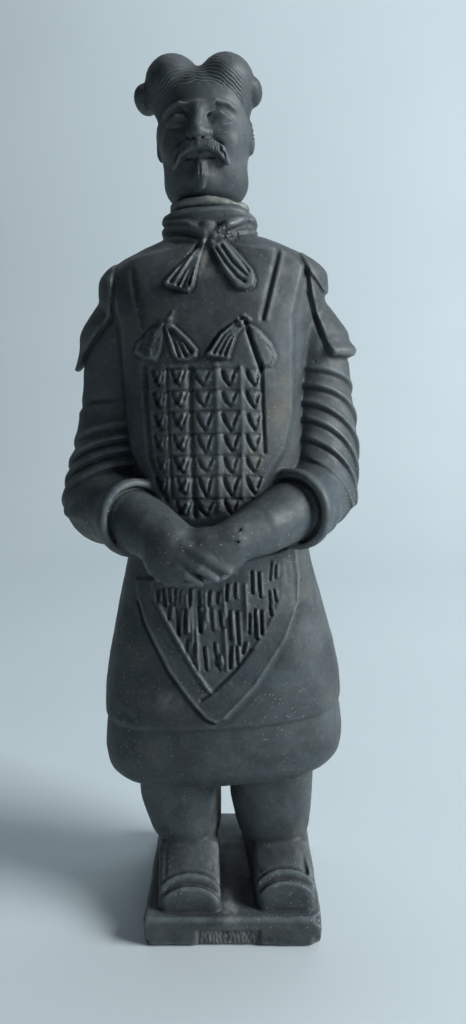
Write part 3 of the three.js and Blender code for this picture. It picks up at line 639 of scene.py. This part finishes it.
def upper_sleeve(clay, arm):
    side = arm["side"]
    rows = arm["upper"]
    low = (min(side * 6, side * 37), -16, rows[0][0] - 2)
    high = (max(side * 6, side * 37), 15, 158)

    def shape(x, y, z):
        across, depth, radius = at_height(table(rows, 1.6), z)
        dx, dy = side * x - across, y - depth
        angle = np.arctan2(-dy, dx)
        tube = np.hypot(dx, dy) - radius - fold_height(angle, z, arm["folds"])
        tube = smooth_max(tube, np.maximum(z - rows[-1][0], rows[0][0] - z), 1.0)
        shoulder = (side * rows[-2][1], rows[-2][2], rows[-2][0])
        return smooth_min(tube, ball(x, y, z, shoulder, (6.4, 6.4, 6.4)), 1.5)
    clay.add(low, high, shape, 0.9)
    clay.add_ball(*arm["elbow"], 1.2)


def shoulder_plate(clay, relief, arm):
    """The flap over the shoulder: the clay there stands out, with a rolled lip below."""
    side = arm["side"]
    low = (min(side * 14, side * 37), -16, 127)
    high = (max(side * 14, side * 37), 17, 158)
    where, _ = clay.window(low, high)
    mask = relief.inside(arm["plate"], 1.0) * smooth_step(156 - relief.z, 0, 4)
    lip = np.exp(-(relief.gap(arm["lip"]) / 1.25) ** 2)
    lift = 0.95 * mask + 1.0 * lip * mask - 0.25 * np.exp(-((relief.gap(arm["lip"]) - 2.6) / 1.0) ** 2) * mask
    edge = np.exp(-(relief.gap(arm["plate"][2:-2]) / 0.8) ** 2)
    clay.d[where] -= (lift - 0.5 * edge * (1 - mask))[where[0], where[2]][:, None, :]


def lower_sleeve(clay, arm):
    path, radii = arm["lower"]
    centre, axis, radius = arm["mouth"]
    length = math.sqrt(sum(c * c for c in axis))
    axis = [c / length for c in axis]
    low, high = clay.reach(path, radii, 2)

    def shape(x, y, z):
        tube = bar(x, y, z, path, radii)
        ahead = (x - centre[0]) * axis[0] + (y - centre[1]) * axis[1] + (z - centre[2]) * axis[2]
        around = np.sqrt(np.maximum((x - centre[0]) ** 2 + (y - centre[1]) ** 2 + (z - centre[2]) ** 2
                                    - ahead ** 2, 0))
        tube = smooth_max(tube, ahead, 1.2)
        rim = np.hypot(around - radius + 0.7, (ahead + 0.8) / 1.5) - 0.45
        tube = smooth_min(tube, rim, 2.2)
        hollow = np.hypot((around - radius + 1.8) / 0.75, ahead / 1.1) - 0.7
        return smooth_max(tube, -hollow, 0.7)
    clay.add(low, high, shape, 0.9)
    clay.add_bar(*arm["forearm"], 0.7)


FINGERS = [([(-6.4, -27.9, 95.2), (-2, -28.9, 93), (2.3, -28, 90.2)], [1.3, 1.25, 1.05]),
           ([(-7, -28.2, 92.9), (-3.4, -28.9, 91), (-0.3, -28.2, 88.6)], [1.25, 1.2, 1.0]),
           ([(-8, -28.2, 91), (-6.2, -28.6, 89.6), (-3.4, -28, 87.6)], [1.25, 1.1, 0.9])]
FINGER_GAPS = [[(-4.4, -31, 93.1), (1.2, -29.8, 89.6)], [(-6.6, -31, 91.3), (-1.8, -30.2, 88.3)]]
UNDER_HAND = [[(-12.6, -23.4, 93.4), (-12.8, -24, 89.6), (-12.2, -22.8, 87.4)],
              [(-10.8, -25.2, 92), (-10.9, -25.6, 88.8), (-10.4, -24.2, 87)],
              [(-8.8, -26, 90), (-8.6, -26, 88), (-8.2, -25, 87)]]


def hands(clay):
    """The right hand laid over the left, with three fingers showing and creases at the wrist."""
    clay.add_ball((-9.4, -24.6, 93), (6, 4.6, 6.4), 1.2)
    clay.add_ball((-1.4, -25.2, 93.8), (6.8, 4.3, 4.9), 1.5)
    clay.add_ball((1.4, -25.2, 92.8), (4.2, 3.6, 3.8), 1.5)
    for path in UNDER_HAND:
        clay.add_bar(path, [1.3, 1.3, 1.0], 0.35)
    for path, radii in FINGERS:
        clay.add_bar(path, radii, 0.9)
    for path in FINGER_GAPS:
        clay.cut_bar(path, [0.28, 0.22], 0.4)
    clay.cut_bar([(0.4, -28.9, 98.4), (4, -27.7, 98.2), (7.4, -24.9, 98.6)], [0.2, 0.25, 0.15], 0.5)
    clay.cut_bar([(0.2, -29.6, 96.2), (3.8, -28.6, 96), (6.8, -26.4, 96.4)], [0.2, 0.25, 0.15], 0.5)
    belt = [(-14.4, -17.5, 87.6), (-6, -22, 86.4), (1, -22, 87.6), (5, -20, 90)]
    clay.add_bar(belt, [1.0, 1.2, 1.1, 0.8], 1.5)


def shoulder_flap(clay, relief):
    """A second, shorter flap that lies on the right shoulder's outer edge."""
    where, _ = clay.window((16, -12, 143), (30, 12, 158))
    mask = relief.inside([(19.6, 156), (20.4, 152.4), (24.6, 147.6), (30, 149), (30, 158), (22, 158)], 0.5)
    clay.d[where] -= (0.6 * mask)[where[0], where[2]][:, None, :]


def body():
    rng = np.random.default_rng(SEED)
    clay = Clay((-37.5, -33, 30), (37.5, 23, 169), BODY_CELL)
    relief = Relief(clay)
    vest(relief, rng)
    bows(relief)
    scarf(relief)
    apron(relief, rng)
    hem(relief)
    robes(clay, relief)
    collar(clay)
    for arm in ARMS.values():
        upper_sleeve(clay, arm)
        shoulder_plate(clay, relief, arm)
        lower_sleeve(clay, arm)
    shoulder_flap(clay, relief)
    hands(clay)
    scarf_wraps(clay)
    return clay


# ---------------------------------------------------------------- base, shoes and legs

BASE = {"half": (20.5, 22), "height": 7, "edge": 0.9}
SHOES = [{"toe": (-9.9, -19.8), "heel": (-12.4, 13.5), "half": 7.2, "tip": 4.1},
         {"toe": (12.6, -19.3), "heel": (9.6, 13.5), "half": 6.8, "tip": 5.3}]
LEGS = [{"x": (-11.4, -11.8, -13, -13.4), "half": (8.1, 8.7, 10, 10.6)},
        {"x": (10.1, 10.1, 9.5, 9.4), "half": (8.6, 9.1, 10.3, 10.6)}]
ANKLE = {"height": 19.4, "end": 0.31}
INSTEP_RIDGES = [(0.035, 0.62, 0.011), (0.10, 0.7, 0.012), (0.142, 0.18, 0.008)]
INSTEP_HOLLOWS = [(0.068, 0.5, 0.016), (0.125, 0.3, 0.007)]
LEG_LEVELS = (17.6, 19.5, 27, 38)
BOOT_SLITS = [([(-4.9, -10.6, 19), (-4.9, -14.8, 14.6)], [0.5, 0.4]),
              ([(16.3, -10.4, 19.4), (17.3, -15, 14)], [0.5, 0.6]),
              ([(-16.2, -10.2, 18.4), (-16, -15.6, 13.4)], [0.3, 0.3]),
              ([(5.8, -10.6, 19.4), (6.4, -15.4, 14)], [0.3, 0.3])]
SCRATCHES = [[(-7.2, -11, 26), (-5.8, -10.6, 27.8), (-4.9, -9.8, 30)],
             [(14.6, -11, 26.6), (12.8, -11.6, 25.4)]]
CHIPS = [((20.4, -21.6, 6.6), 1.5), ((20, -22.3, 1.2), 1.7), ((-20.4, -22, 0.6), 1.2)]


def shoe(clay, item):
    """A flat-toed shoe: its top climbs from the toe to the ankle, with two raised bands over the instep."""
    (tx, ty), (hx, hy) = item["toe"], item["heel"]

    def shape(x, y, z):
        t = np.clip((y - ty) / (hy - ty), 0, 1)
        middle = tx + (hx - tx) * t
        half = item["half"] * (1 + 0.04 * t)
        share = (x - middle) / half
        toe_top = BASE["height"] + item["tip"]
        top = toe_top + (ANKLE["height"] - toe_top) * np.clip(t / ANKLE["end"], 0, 1)
        crown = top - 2.0 * np.abs(share) ** 2.6
        bowed = t + 0.03 * share ** 2
        for place, height, width in INSTEP_RIDGES:
            crown = crown + height * np.exp(-((bowed - place) / width) ** 2)
        for place, depth, width in INSTEP_HOLLOWS:
            crown = crown - depth * np.exp(-((bowed - place) / width) ** 2)
        side = np.abs(x - middle) - half
        ends = np.maximum(ty - y, y - hy)
        flat = smooth_max(side, ends, 2.2)
        return smooth_max(flat, (z - crown) * 0.8, 0.9)
    clay.add((min(tx, hx) - 10, ty - 2, 5), (max(tx, hx) + 10, hy + 3, 23), shape, 0.5)


def leg(clay, item):
    levels = [(z, x, half, 9.8 + 0.7 * i, 11 + 0.7 * i)
              for i, (z, x, half) in enumerate(zip(LEG_LEVELS, item["x"], item["half"]))]

    def shape(x, y, z):
        middle, half, front, back = at_height(table(levels, 0.7), z)
        side = ring(x - middle, y, half, front, back)
        return smooth_max(side, np.maximum(z - 40, LEG_LEVELS[0] - z), 1.0)
    middle = item["x"][1]
    clay.add((middle - 15, -16, 15), (middle + 15, 17, 41.5), shape, 0.6)


INSCRIPTION = {"centre": (-0.9, 1.9), "half": (7.2, 2.0), "rows": (3.2, 2.1, 1.0)}


def inscription(clay, rng):
    """A sunk field on the base's front, with rows of short strokes that stand for writing."""
    front = -BASE["half"][1]
    (cx, cz), (hx, hz) = INSCRIPTION["centre"], INSCRIPTION["half"]
    clay.cut((cx - hx - 2, front - 2, -2), (cx + hx + 2, front + 3, 7),
             lambda x, y, z: block(x, y, z, (cx, front, cz), (hx, 0.55, hz), 0.25), 0.5)
    for row in INSCRIPTION["rows"]:
        x = cx - hx + 0.8
        while x < cx + hx - 0.6:
            tall = rng.uniform(0.28, 0.46)
            lean = rng.uniform(-0.3, 0.3)
            foot, head = (x, front + 0.45, row - tall), (x + lean, front + 0.45, row + tall)
            clay.add_bar([foot, head], [0.24, 0.24], 0.15)
            x += rng.uniform(0.7, 1.15)


def base():
    rng = np.random.default_rng(SEED + 1)
    clay = Clay((-24, -25, -1.6), (24, 25, 43), BASE_CELL)
    half = (*BASE["half"], BASE["height"] / 2)
    clay.add((-24, -25, -1.6), (24, 25, 10),
             lambda x, y, z: block(x, y, z, (0, 0, BASE["height"] / 2), half, BASE["edge"]), 0.3)
    for item in SHOES:
        shoe(clay, item)
    for item in LEGS:
        leg(clay, item)
    for path, radii in BOOT_SLITS:
        clay.cut_bar(path, radii, 0.3)
    for path in SCRATCHES:
        clay.cut_bar(path, [0.12] * len(path), 0.1)
    for centre, radius in CHIPS:
        clay.cut_ball(centre, (radius, radius, radius), 0.6)
    inscription(clay, rng)
    return clay


# ---------------------------------------------------------------- head

HEAD_TURN = Euler((0, math.radians(-3), math.radians(-5)), "XYZ")
HEAD_CENTRE = (-6.3, 0, 180.5)


def skull(clay):
    clay.add_ball((0, 0.8, 1.4), (10.5, 10.6, 11.4), 1)
    clay.add_ball((0, -3, -2.6), (8.7, 8.3, 9.6), 2)
    clay.add_ball((0, -3.6, -7.4), (7, 6.6, 5.4), 2.5)
    clay.add_ball((-0.2, 1.5, -8.6), (9.4, 8.6, 6.4), 3)
    clay.add_ball((0, -8.6, -10), (2.8, 2.4, 2.1), 2)
    for side in (-1, 1):
        clay.add_ball((side * 5, -7.2, -2.4), (3.2, 2.9, 3), 2)
        clay.add_ball((side * 10.1, 1.2, 0.4), (1.0, 2.2, 3.4), 0.7)
        clay.cut_ball((side * 11.0, 0.4, 0.8), (0.6, 1.1, 1.9), 0.5)


def eyes(clay):
    for side in (-1, 1):
        def here(path):
            return [(side * x, y, z) for x, y, z in path]
        clay.cut_ball((side * 4.2, -11.9, 2.0), (3.2, 2.4, 1.7), 2.0)
        clay.add_ball((side * 4.2, -8.35, 1.6), (2.4, 1.8, 1.2), 0.7)
        clay.add_bar(here([(1.8, -9.4, 1.2), (3, -10.2, 2.3), (4.6, -10.2, 2.5), (6.6, -8.8, 1.5)]),
                     [0.2, 0.3, 0.3, 0.2], 0.8)
        clay.add_bar(here([(1.9, -9.4, 1.1), (3.4, -9.9, 0.6), (5, -9.7, 0.7), (6.5, -8.8, 1.4)]),
                     [0.16, 0.22, 0.22, 0.16], 0.8)
        clay.add_bar(here([(1.6, -10.2, 4.0), (3.8, -10.2, 4.9), (6.2, -8.8, 4.6), (7.6, -7.4, 3.8)]),
                     [0.2, 0.3, 0.28, 0.1], 2.2)


def nose_and_mouth(clay):
    clay.add_bar([(0, -10, 4), (0, -11.3, 1), (0, -12.4, -1.6)], [1.0, 1.1, 1.55], 1.8)
    for side in (-1, 1):
        clay.add_ball((side * 1.6, -11.3, -1.9), (1.1, 1.3, 1), 0.7)
        clay.cut_ball((side * 0.8, -12.2, -3), (0.25, 0.35, 0.25), 0.5)
        clay.cut_bar([(side * 2.8, -11.2, -2.6), (side * 4.2, -10.2, -4.2)], [0.2, 0.15], 1.4)
    clay.add_bar([(-2.7, -9.9, -6), (-0.9, -11, -5.6), (0, -11, -5.8), (0.9, -11, -5.6), (2.7, -9.9, -6)],
                 [0.35, 0.5, 0.48, 0.5, 0.35], 0.6)
    clay.add_bar([(-2.1, -9.9, -6.8), (0, -10.8, -7.2), (2.1, -9.9, -6.8)], [0.4, 0.68, 0.4], 0.6)
    clay.cut_bar([(-3, -10.2, -6.3), (0, -11.7, -6.45), (3, -10.2, -6.3)], [0.18, 0.2, 0.18], 0.35)


def moustache(clay):
    """A full moustache that droops past the mouth, cut into short upright strands."""
    for side in (-1, 1):
        path = [(side * 0.3, -12, -4.1), (side * 2.4, -11.7, -4.3),
                (side * 4.4, -10.9, -5.3), (side * 5.6, -9.9, -7.4)]
        clay.add_bar(path, [0.95, 1.25, 1.15, 0.7], 0.5)
        for number in range(11):
            t = (number + 0.5) / 11 * 3
            k = min(int(t), 2)
            x, y, z = [a + (b - a) * (t - k) for a, b in zip(path[k], path[k + 1])]
            clay.cut_bar([(x - side * 0.25, y - 1.15, z + 1.2), (x + side * 0.15, y - 1.1, z - 1.3)],
                         [0.24, 0.24], 0.15)


def chin_tuft(clay):
    """A narrow tuft under the lip, of upright strands."""
    clay.add_bar([(0, -10.8, -8), (0, -11, -9.8), (0, -10.4, -11.8)], [1.15, 1.3, 0.7], 0.6)
    for x in (-0.8, 0, 0.8):
        groove = [(x, -12, -7.8), (x * 0.9, -12.25, -9.8), (x * 0.5, -11.1, -12.2)]
        clay.cut_bar(groove, [0.24, 0.26, 0.2], 0.15)


def hair(clay):
    """Hair combed up from the brow into two rolls, with a knob at each side."""
    for centre, radii in (((-6.1, 1.5, 12), (6.6, 9.5, 6.4)), ((5.4, 1.5, 11.6), (6.4, 9.5, 6))):
        clay.add_ball(centre, radii, 1.6)
    clay.add_ball((0, 1.6, 8.2), (10.9, 10.4, 6.6), 1.6)
    clay.cut_bar([(0, -11, 14.6), (-0.3, -6, 18), (-0.4, 2, 19.2), (0, 10, 16)], [0.4, 0.5, 0.5, 0.4], 2.2)
    clay.add_ball((-12.7, 2, 10.6), (2.7, 4.6, 3), 0.6)
    clay.add_ball((10.9, 2, 10.2), (2.3, 4.2, 2.9), 0.6)
    clay.cut_bar([(-12.6, -3.6, 13.2), (-11.6, -1, 13.6), (-13, 3, 13.8)], [0.3, 0.35, 0.3], 0.6)
    clay.cut_bar([(12.6, -3, 12.9), (11.2, -1.4, 13.2), (12.6, 3, 13.4)], [0.35, 0.4, 0.3], 0.6)


def strands(clay):
    """Combs fine strands into the hair: they leave the parting sideways and fall over the temples."""
    where, (x, y, z) = clay.window(clay.low, clay.low + clay.cell * np.array(clay.shape))
    away = np.abs(x + 0.3)
    hairline = 8.6 - 0.035 * np.maximum(away - 2, 0) ** 2 - 0.75 * np.maximum(y + 6.5, 0)
    above = z - np.maximum(hairline, -3)
    hair_mask = smooth_step(above, 0, 0.7)
    comb = z + 0.05 * away ** 2 + 0.12 * y + 0.16 * np.sin(away * 1.1) + 0.1 * np.sin(away * 2.3 + y)
    fine = 0.5 - 0.5 * np.cos(comb * (2 * math.pi / 0.78))
    depth = 0.24 * smooth_step(5.5 - above, 0, 4.5) + 0.07
    edge = np.exp(-((above - 0.5) / 0.6) ** 2)
    clay.d += (depth * fine * hair_mask - 0.16 * edge * hair_mask).astype(np.float32)


def plait(clay):
    """The braid that climbs the back of the head to the knot."""
    for number in range(6):
        z = -5 + number * 2.7
        y = 9.7 + 1.2 * math.sin((z + 5) / 14 * math.pi)
        for side in (-1, 1):
            clay.add_bar([(side * 1.7, y, z), (side * 0.3, y + 0.8, z + 1.5)], [0.9, 0.8], 0.25)


def head():
    clay = Clay((-17, -16, -17), (15, 14, 20), HEAD_CELL)
    skull(clay)
    hair(clay)
    strands(clay)
    plait(clay)
    eyes(clay)
    nose_and_mouth(clay)
    moustache(clay)
    chin_tuft(clay)
    clay.add_bar([(0, 0.4, -8), (0.6, 0.3, -18)], [5.7, 5.7], 0.6)
    return clay


# ---------------------------------------------------------------- pieces

def leaned(points):
    """Upright points of the body, sheared to its lean."""
    moved = points.copy()
    moved[:, 0] += LEAN["shift"] + LEAN["per_height"] * points[:, 2]
    return moved


def finish_piece(piece, points, material, node):
    """Moves a piece to its points, dresses it and puts it on the frame."""
    place(piece, points)
    piece.data.materials.append(material)
    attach(piece, "root")
    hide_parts(node)


def marked(name, clay, triangles, grain, glaze, pale):
    """The clay's mesh, with its hollows, glaze and pale smears kept for the material, and its points."""
    piece = modelled(name, clay, triangles, grain)
    points = read_points(piece.data)
    mark(piece, "hollow", clay.sample(clay.hollows(HOLLOW_REACH), points))
    mark(piece, "glaze", spots(points, glaze))
    mark(piece, "pale", spots(points, pale))
    return piece, points


def make_body(material):
    piece, points = marked("robed_body", body(), BODY_TRIANGLES, GRAIN, GLAZE, PALE)
    finish_piece(piece, leaned(points), material, "figure")


def make_base(material):
    piece, points = marked("base_and_legs", base(), BASE_TRIANGLES, GRAIN, [], BASE_PALE)
    finish_piece(piece, points, material, "figure")


def make_head(material):
    piece, points = marked("head_clay", head(), HEAD_TRIANGLES, HEAD_GRAIN, [], [])
    turned = points @ np.array(HEAD_TURN.to_matrix()).T + np.array(HEAD_CENTRE)
    finish_piece(piece, turned, material, "head")


def make_filler(material):
    """The pale filler squeezed out between the collar and the head, uneven all round."""
    low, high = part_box("neck_filler")
    middle = [(a + b) / 2 / MM for a, b in zip(low, high)]
    half = (high.x - low.x) / 2 / MM
    spread = (13, 13, 4)
    clay = Clay([m - w for m, w in zip(middle, spread)], [m + w for m, w in zip(middle, spread)], FILLER_CELL)

    def shape(x, y, z):
        turn = np.arctan2(y - middle[1], x - middle[0])
        out = np.hypot(x - middle[0], y - middle[1])
        wave = 0.35 * np.sin(3 * turn + 1) + 0.25 * np.sin(5 * turn + 2) + 0.12 * np.sin(11 * turn)
        return np.hypot(out - (half - 1.3), (z - middle[2] - 0.3 * wave) * 1.25) - (1.2 + 0.35 * wave)
    clay.add(clay.low, clay.low + clay.cell * np.array(clay.shape), shape, 0.2)
    piece = modelled("neck_filler_bead", clay, FILLER_TRIANGLES, FILLER_GRAIN)
    finish_piece(piece, read_points(piece.data), material, "neck_filler")


# Smears on the front, each x, z, half width, half height, lean to the right, and strength.
GLAZE = [(3.4, 159.4, 3.4, 2.2, -0.6, 1), (-6, 147.9, 2.2, 1.2, -0.2, 1), (-15.5, 145, 0.8, 5, -0.18, 0.9),
         (-12.6, 136, 1.6, 3.4, 0.4, 1), (-4.4, 134.2, 1.4, 1.8, -0.5, 0.9),
         (-14.3, 127.6, 0.9, 4.6, 0.02, 1),
         (-12, 116, 2.2, 12, 0.0, 0.55), (-9.6, 139.8, 1.8, 1.4, 0, 0.8), (-6, 157, 3, 4, 0.4, 0.7)]
PALE = [(-1.6, 154.2, 1.2, 4.2, 0.15, 1), (0.6, 150.8, 3, 1.2, 0, 0.35), (1, 109, 8, 6, 0, 0.2),
        (-12, 57, 6, 3, 0.2, 0.25)]
BASE_PALE = [(-3, 1.7, 6, 3, 0, 0.6), (-0.6, 9, 1.8, 5, 0, 1), (-3.6, 27, 1.6, 8, 0.1, 0.9)]


def spots(points, smears):
    """How strongly each point lies in a list of smears on the front."""
    total = np.zeros(len(points))
    for x, z, wide, tall, lean, strength in smears:
        dz = points[:, 2] - z
        dx = points[:, 0] - x - lean * dz
        total = np.maximum(total, strength * np.exp(-((dx / wide) ** 2 + (dz / tall) ** 2) ** 1.5))
    return total * (points[:, 1] < 0)


# ---------------------------------------------------------------- materials

class Shader:
    """A material's nodes, made and joined by short calls."""

    def __init__(self, name):
        self.material = bpy.data.materials.new(name)
        self.material.use_nodes = True
        self.nodes = self.material.node_tree.nodes
        self.links = self.material.node_tree.links
        self.surface = self.nodes["Principled BSDF"]
        self.place = self.nodes.new("ShaderNodeTexCoord").outputs["Object"]

    def link(self, value, socket):
        if isinstance(value, bpy.types.NodeSocket):
            self.links.new(value, socket)
        else:
            socket.default_value = value

    def noise(self, scale, detail=4, rough=0.6, warp=0):
        node = self.nodes.new("ShaderNodeTexNoise")
        node.inputs["Scale"].default_value = scale
        node.inputs["Detail"].default_value = detail
        node.inputs["Roughness"].default_value = rough
        node.inputs["Distortion"].default_value = warp
        self.links.new(self.place, node.inputs["Vector"])
        return node.outputs["Fac"]

    def cells(self, scale):
        node = self.nodes.new("ShaderNodeTexVoronoi")
        node.inputs["Scale"].default_value = scale
        self.links.new(self.place, node.inputs["Vector"])
        return node

    def attribute(self, name):
        node = self.nodes.new("ShaderNodeAttribute")
        node.attribute_name = name
        return node.outputs["Fac"]

    def math(self, kind, a, b=0.5):
        node = self.nodes.new("ShaderNodeMath")
        node.operation = kind
        self.link(a, node.inputs[0])
        self.link(b, node.inputs[1])
        return node.outputs[0]

    def ramp(self, value, low, high, to_low=0.0, to_high=1.0):
        node = self.nodes.new("ShaderNodeMapRange")
        node.interpolation_type = "SMOOTHSTEP"
        self.link(value, node.inputs["Value"])
        node.inputs["From Min"].default_value = low
        node.inputs["From Max"].default_value = high
        node.inputs["To Min"].default_value = to_low
        node.inputs["To Max"].default_value = to_high
        return node.outputs["Result"]

    def mix(self, factor, a, b):
        node = self.nodes.new("ShaderNodeMix")
        node.data_type = "RGBA"
        self.link(factor, node.inputs["Factor"])
        self.link(a, node.inputs[6])
        self.link(b, node.inputs[7])
        return node.outputs[2]

    def bump(self, height, strength, distance, normal=None):
        node = self.nodes.new("ShaderNodeBump")
        node.inputs["Strength"].default_value = strength
        node.inputs["Distance"].default_value = distance
        self.links.new(height, node.inputs["Height"])
        if normal is not None:
            self.links.new(normal, node.inputs["Normal"])
        return node.outputs["Normal"]


CLAY_DARK = (0.028, 0.035, 0.039, 1)
CLAY_MID = (0.066, 0.080, 0.086, 1)
CLAY_TAN = (0.088, 0.084, 0.064, 1)
CLAY_BLUE = (0.040, 0.062, 0.080, 1)
# Pale grey for random worn patches, and for a painted highlight on raised edges.
CLAY_WORN_AND_HIGHLIGHT = (0.150, 0.178, 0.190, 1)
HOLLOW_SHADE = (0.020, 0.022, 0.023, 1)
# Near-black for painted shade in the hollows.
DUST = (0.42, 0.42, 0.39, 1)
GLUE_DARK = (0.018, 0.021, 0.025, 1)


def clay_material(name, tone=1.0):
    """Dark burnished clay: cloudy colour, worn edges with a painted highlight, painted shade in hollows,
    dusty specks and glossy glue.
    """
    s = Shader(name)

    def toned(colour):
        return (colour[0] * tone, colour[1] * tone, colour[2] * tone, 1)
    cloud = s.ramp(s.noise(85, 5, 0.62, 0.4), 0.32, 0.70)
    fine = s.noise(900, 4, 0.7)
    colour = s.mix(cloud, toned(CLAY_DARK), toned(CLAY_MID))
    colour = s.mix(s.ramp(s.noise(42, 3, 0.6, 0.6), 0.56, 0.70, 0, 0.6), colour, CLAY_TAN)
    colour = s.mix(s.ramp(s.noise(55, 4, 0.6, 0.8), 0.54, 0.68, 0, 0.6), colour, CLAY_BLUE)
    colour = s.mix(s.ramp(fine, 0.45, 0.85, 0, 0.35), colour, toned(CLAY_WORN_AND_HIGHLIGHT))
    hollow = s.attribute("hollow")
    # Raised edges lightened, broken by noise: partly wear, partly a painted highlight.
    edges = s.ramp(s.math("MULTIPLY", hollow, -1.0), 0.04, 0.24)
    edge_wear_and_highlight = s.math("MULTIPLY", edges, s.ramp(s.noise(320, 3), 0.3, 0.6, 0.2, 1))
    colour = s.mix(s.math("MULTIPLY", edge_wear_and_highlight, 0.55), colour, toned(CLAY_WORN_AND_HIGHLIGHT))
    # Hollows darkened towards near-black: painted shade in the recesses.
    shaded_hollows = s.ramp(hollow, 0.03, 0.22)
    colour = s.mix(s.math("MULTIPLY", shaded_hollows, 0.7), colour, HOLLOW_SHADE)
    pale = s.math("MULTIPLY", s.attribute("pale"), s.ramp(s.noise(260, 4), 0.3, 0.62))
    colour = s.mix(s.math("MULTIPLY", pale, 0.55), colour, DUST)
    specks = s.cells(950)
    where = s.ramp(s.noise(60, 2), 0.46, 0.60)
    speck = s.math("MULTIPLY", s.ramp(specks.outputs["Distance"], 0.18, 0.08), where)
    colour = s.mix(s.math("MULTIPLY", speck, 0.6), colour, DUST)
    glaze = s.math("MULTIPLY", s.attribute("glaze"), s.ramp(s.noise(420, 3), 0.3, 0.5))
    colour = s.mix(s.math("MULTIPLY", glaze, 0.7), colour, GLUE_DARK)
    s.link(colour, s.surface.inputs["Base Color"])
    rough = s.math("ADD", s.ramp(s.noise(240, 4), 0.3, 0.7, 0.52, 0.68), s.math("MULTIPLY", pale, 0.25))
    rough = s.math("SUBTRACT", rough, s.math("MULTIPLY", edge_wear_and_highlight, 0.06))
    s.link(s.math("SUBTRACT", rough, s.math("MULTIPLY", glaze, 0.36)), s.surface.inputs["Roughness"])
    s.surface.inputs["Specular IOR Level"].default_value = 0.5
    grit = s.math("ADD", s.math("MULTIPLY", fine, 0.6), s.math("MULTIPLY", s.noise(2600, 2), 0.35))
    pits = s.ramp(s.cells(330).outputs["Distance"], 0.05, 0.16)
    some = s.ramp(s.noise(140, 2), 0.52, 0.60)
    pitted = s.math("MULTIPLY", s.math("SUBTRACT", 1.0, pits), some)
    normal = s.bump(grit, 0.35, 0.00022)
    normal = s.bump(s.math("SUBTRACT", 1.0, pitted), 0.5, 0.0002, normal)
    lumps = s.math("MULTIPLY", glaze, s.noise(1400, 3))
    normal = s.bump(lumps, 0.8, 0.0006, normal)
    s.links.new(normal, s.surface.inputs["Normal"])
    return s.material


def filler_material():
    s = Shader("pale_filler")
    cloud = s.ramp(s.noise(300, 4), 0.3, 0.7)
    colour = s.mix(cloud, (0.08, 0.09, 0.085, 1), (0.24, 0.26, 0.235, 1))
    s.link(colour, s.surface.inputs["Base Color"])
    s.link(s.ramp(s.noise(800, 3), 0.3, 0.7, 0.5, 0.75), s.surface.inputs["Roughness"])
    s.links.new(s.bump(s.noise(1200, 4), 0.5, 0.0003), s.surface.inputs["Normal"])
    return s.material


def floor_material():
    s = Shader("pale_floor")
    colour = s.mix(s.ramp(s.noise(3, 3), 0.3, 0.7), (0.56, 0.62, 0.65, 1), (0.60, 0.66, 0.69, 1))
    s.link(colour, s.surface.inputs["Base Color"])
    s.surface.inputs["Roughness"].default_value = 0.8
    return s.material


# ---------------------------------------------------------------- stage, light and camera

def stage():
    """A floor that curves up behind the statue into a plain backdrop."""
    profile = [(-0.6, 0.0), (0.35, 0.0)]
    turns = np.linspace(0, math.pi / 2, 16)[1:]
    profile += [(0.35 + 0.25 * math.sin(a), 0.25 - 0.25 * math.cos(a)) for a in turns]
    profile += [(0.60, 1.4)]
    points = [(x, y, z - 0.0002) for y, z in profile for x in (-1.6, 1.6)]
    faces = np.array([(2 * i, 2 * i + 1, 2 * i + 3, 2 * i + 2) for i in range(len(profile) - 1)])
    floor = mesh_object("floor", np.array(points), faces)
    floor.data.materials.append(floor_material())


def area_light(name, at, towards, size, energy, colour):
    data = bpy.data.lights.new(name, "AREA")
    data.shape = "RECTANGLE"
    data.size, data.size_y = size
    data.energy = energy
    data.color = colour
    lamp = bpy.data.objects.new(name, data)
    lamp.location = at
    lamp.rotation_euler = (Vector(towards) - Vector(at)).to_track_quat("-Z", "Y").to_euler()
    bpy.context.scene.collection.objects.link(lamp)


def light():
    world = bpy.data.worlds.new("studio")
    world.use_nodes = True
    world.node_tree.nodes["Background"].inputs["Color"].default_value = (0.62, 0.74, 0.80, 1)
    world.node_tree.nodes["Background"].inputs["Strength"].default_value = 0.06
    bpy.context.scene.world = world
    area_light("window", (0.78, -0.24, 0.50), (0, 0, 0.11), (0.36, 0.45), 12, (0.93, 0.98, 1.0))
    area_light("room", (-0.5, -0.8, 0.4), (0, 0, 0.1), (0.8, 0.8), 0.18, (0.8, 0.93, 1.0))
    area_light("wall", (0.1, 0.2, 1.1), (0.05, 0.62, 0.35), (1.0, 0.3), 3, (0.86, 0.95, 1.0))
    bpy.context.scene.view_settings.view_transform = "Standard"


# Lens and sensor in millimetres, place in metres, and the tilt up from straight down in degrees.
CAMERA = {"lens": 26, "sensor": 36, "at": (0, -0.1744, 0.1254), "tilt": 81}


def camera():
    data = bpy.data.cameras.new("camera")
    data.lens = CAMERA["lens"]
    data.sensor_width = CAMERA["sensor"]
    eye = bpy.data.objects.new("camera", data)
    eye.location = CAMERA["at"]
    eye.rotation_euler = (math.radians(CAMERA["tilt"]), 0, 0)
    bpy.context.scene.collection.objects.link(eye)
    bpy.context.scene.camera = eye


clay_look = clay_material("dark_clay")
make_body(clay_look)
make_base(clay_look)
make_head(clay_material("head_dark_clay"))
make_filler(filler_material())
stage()
light()
camera()
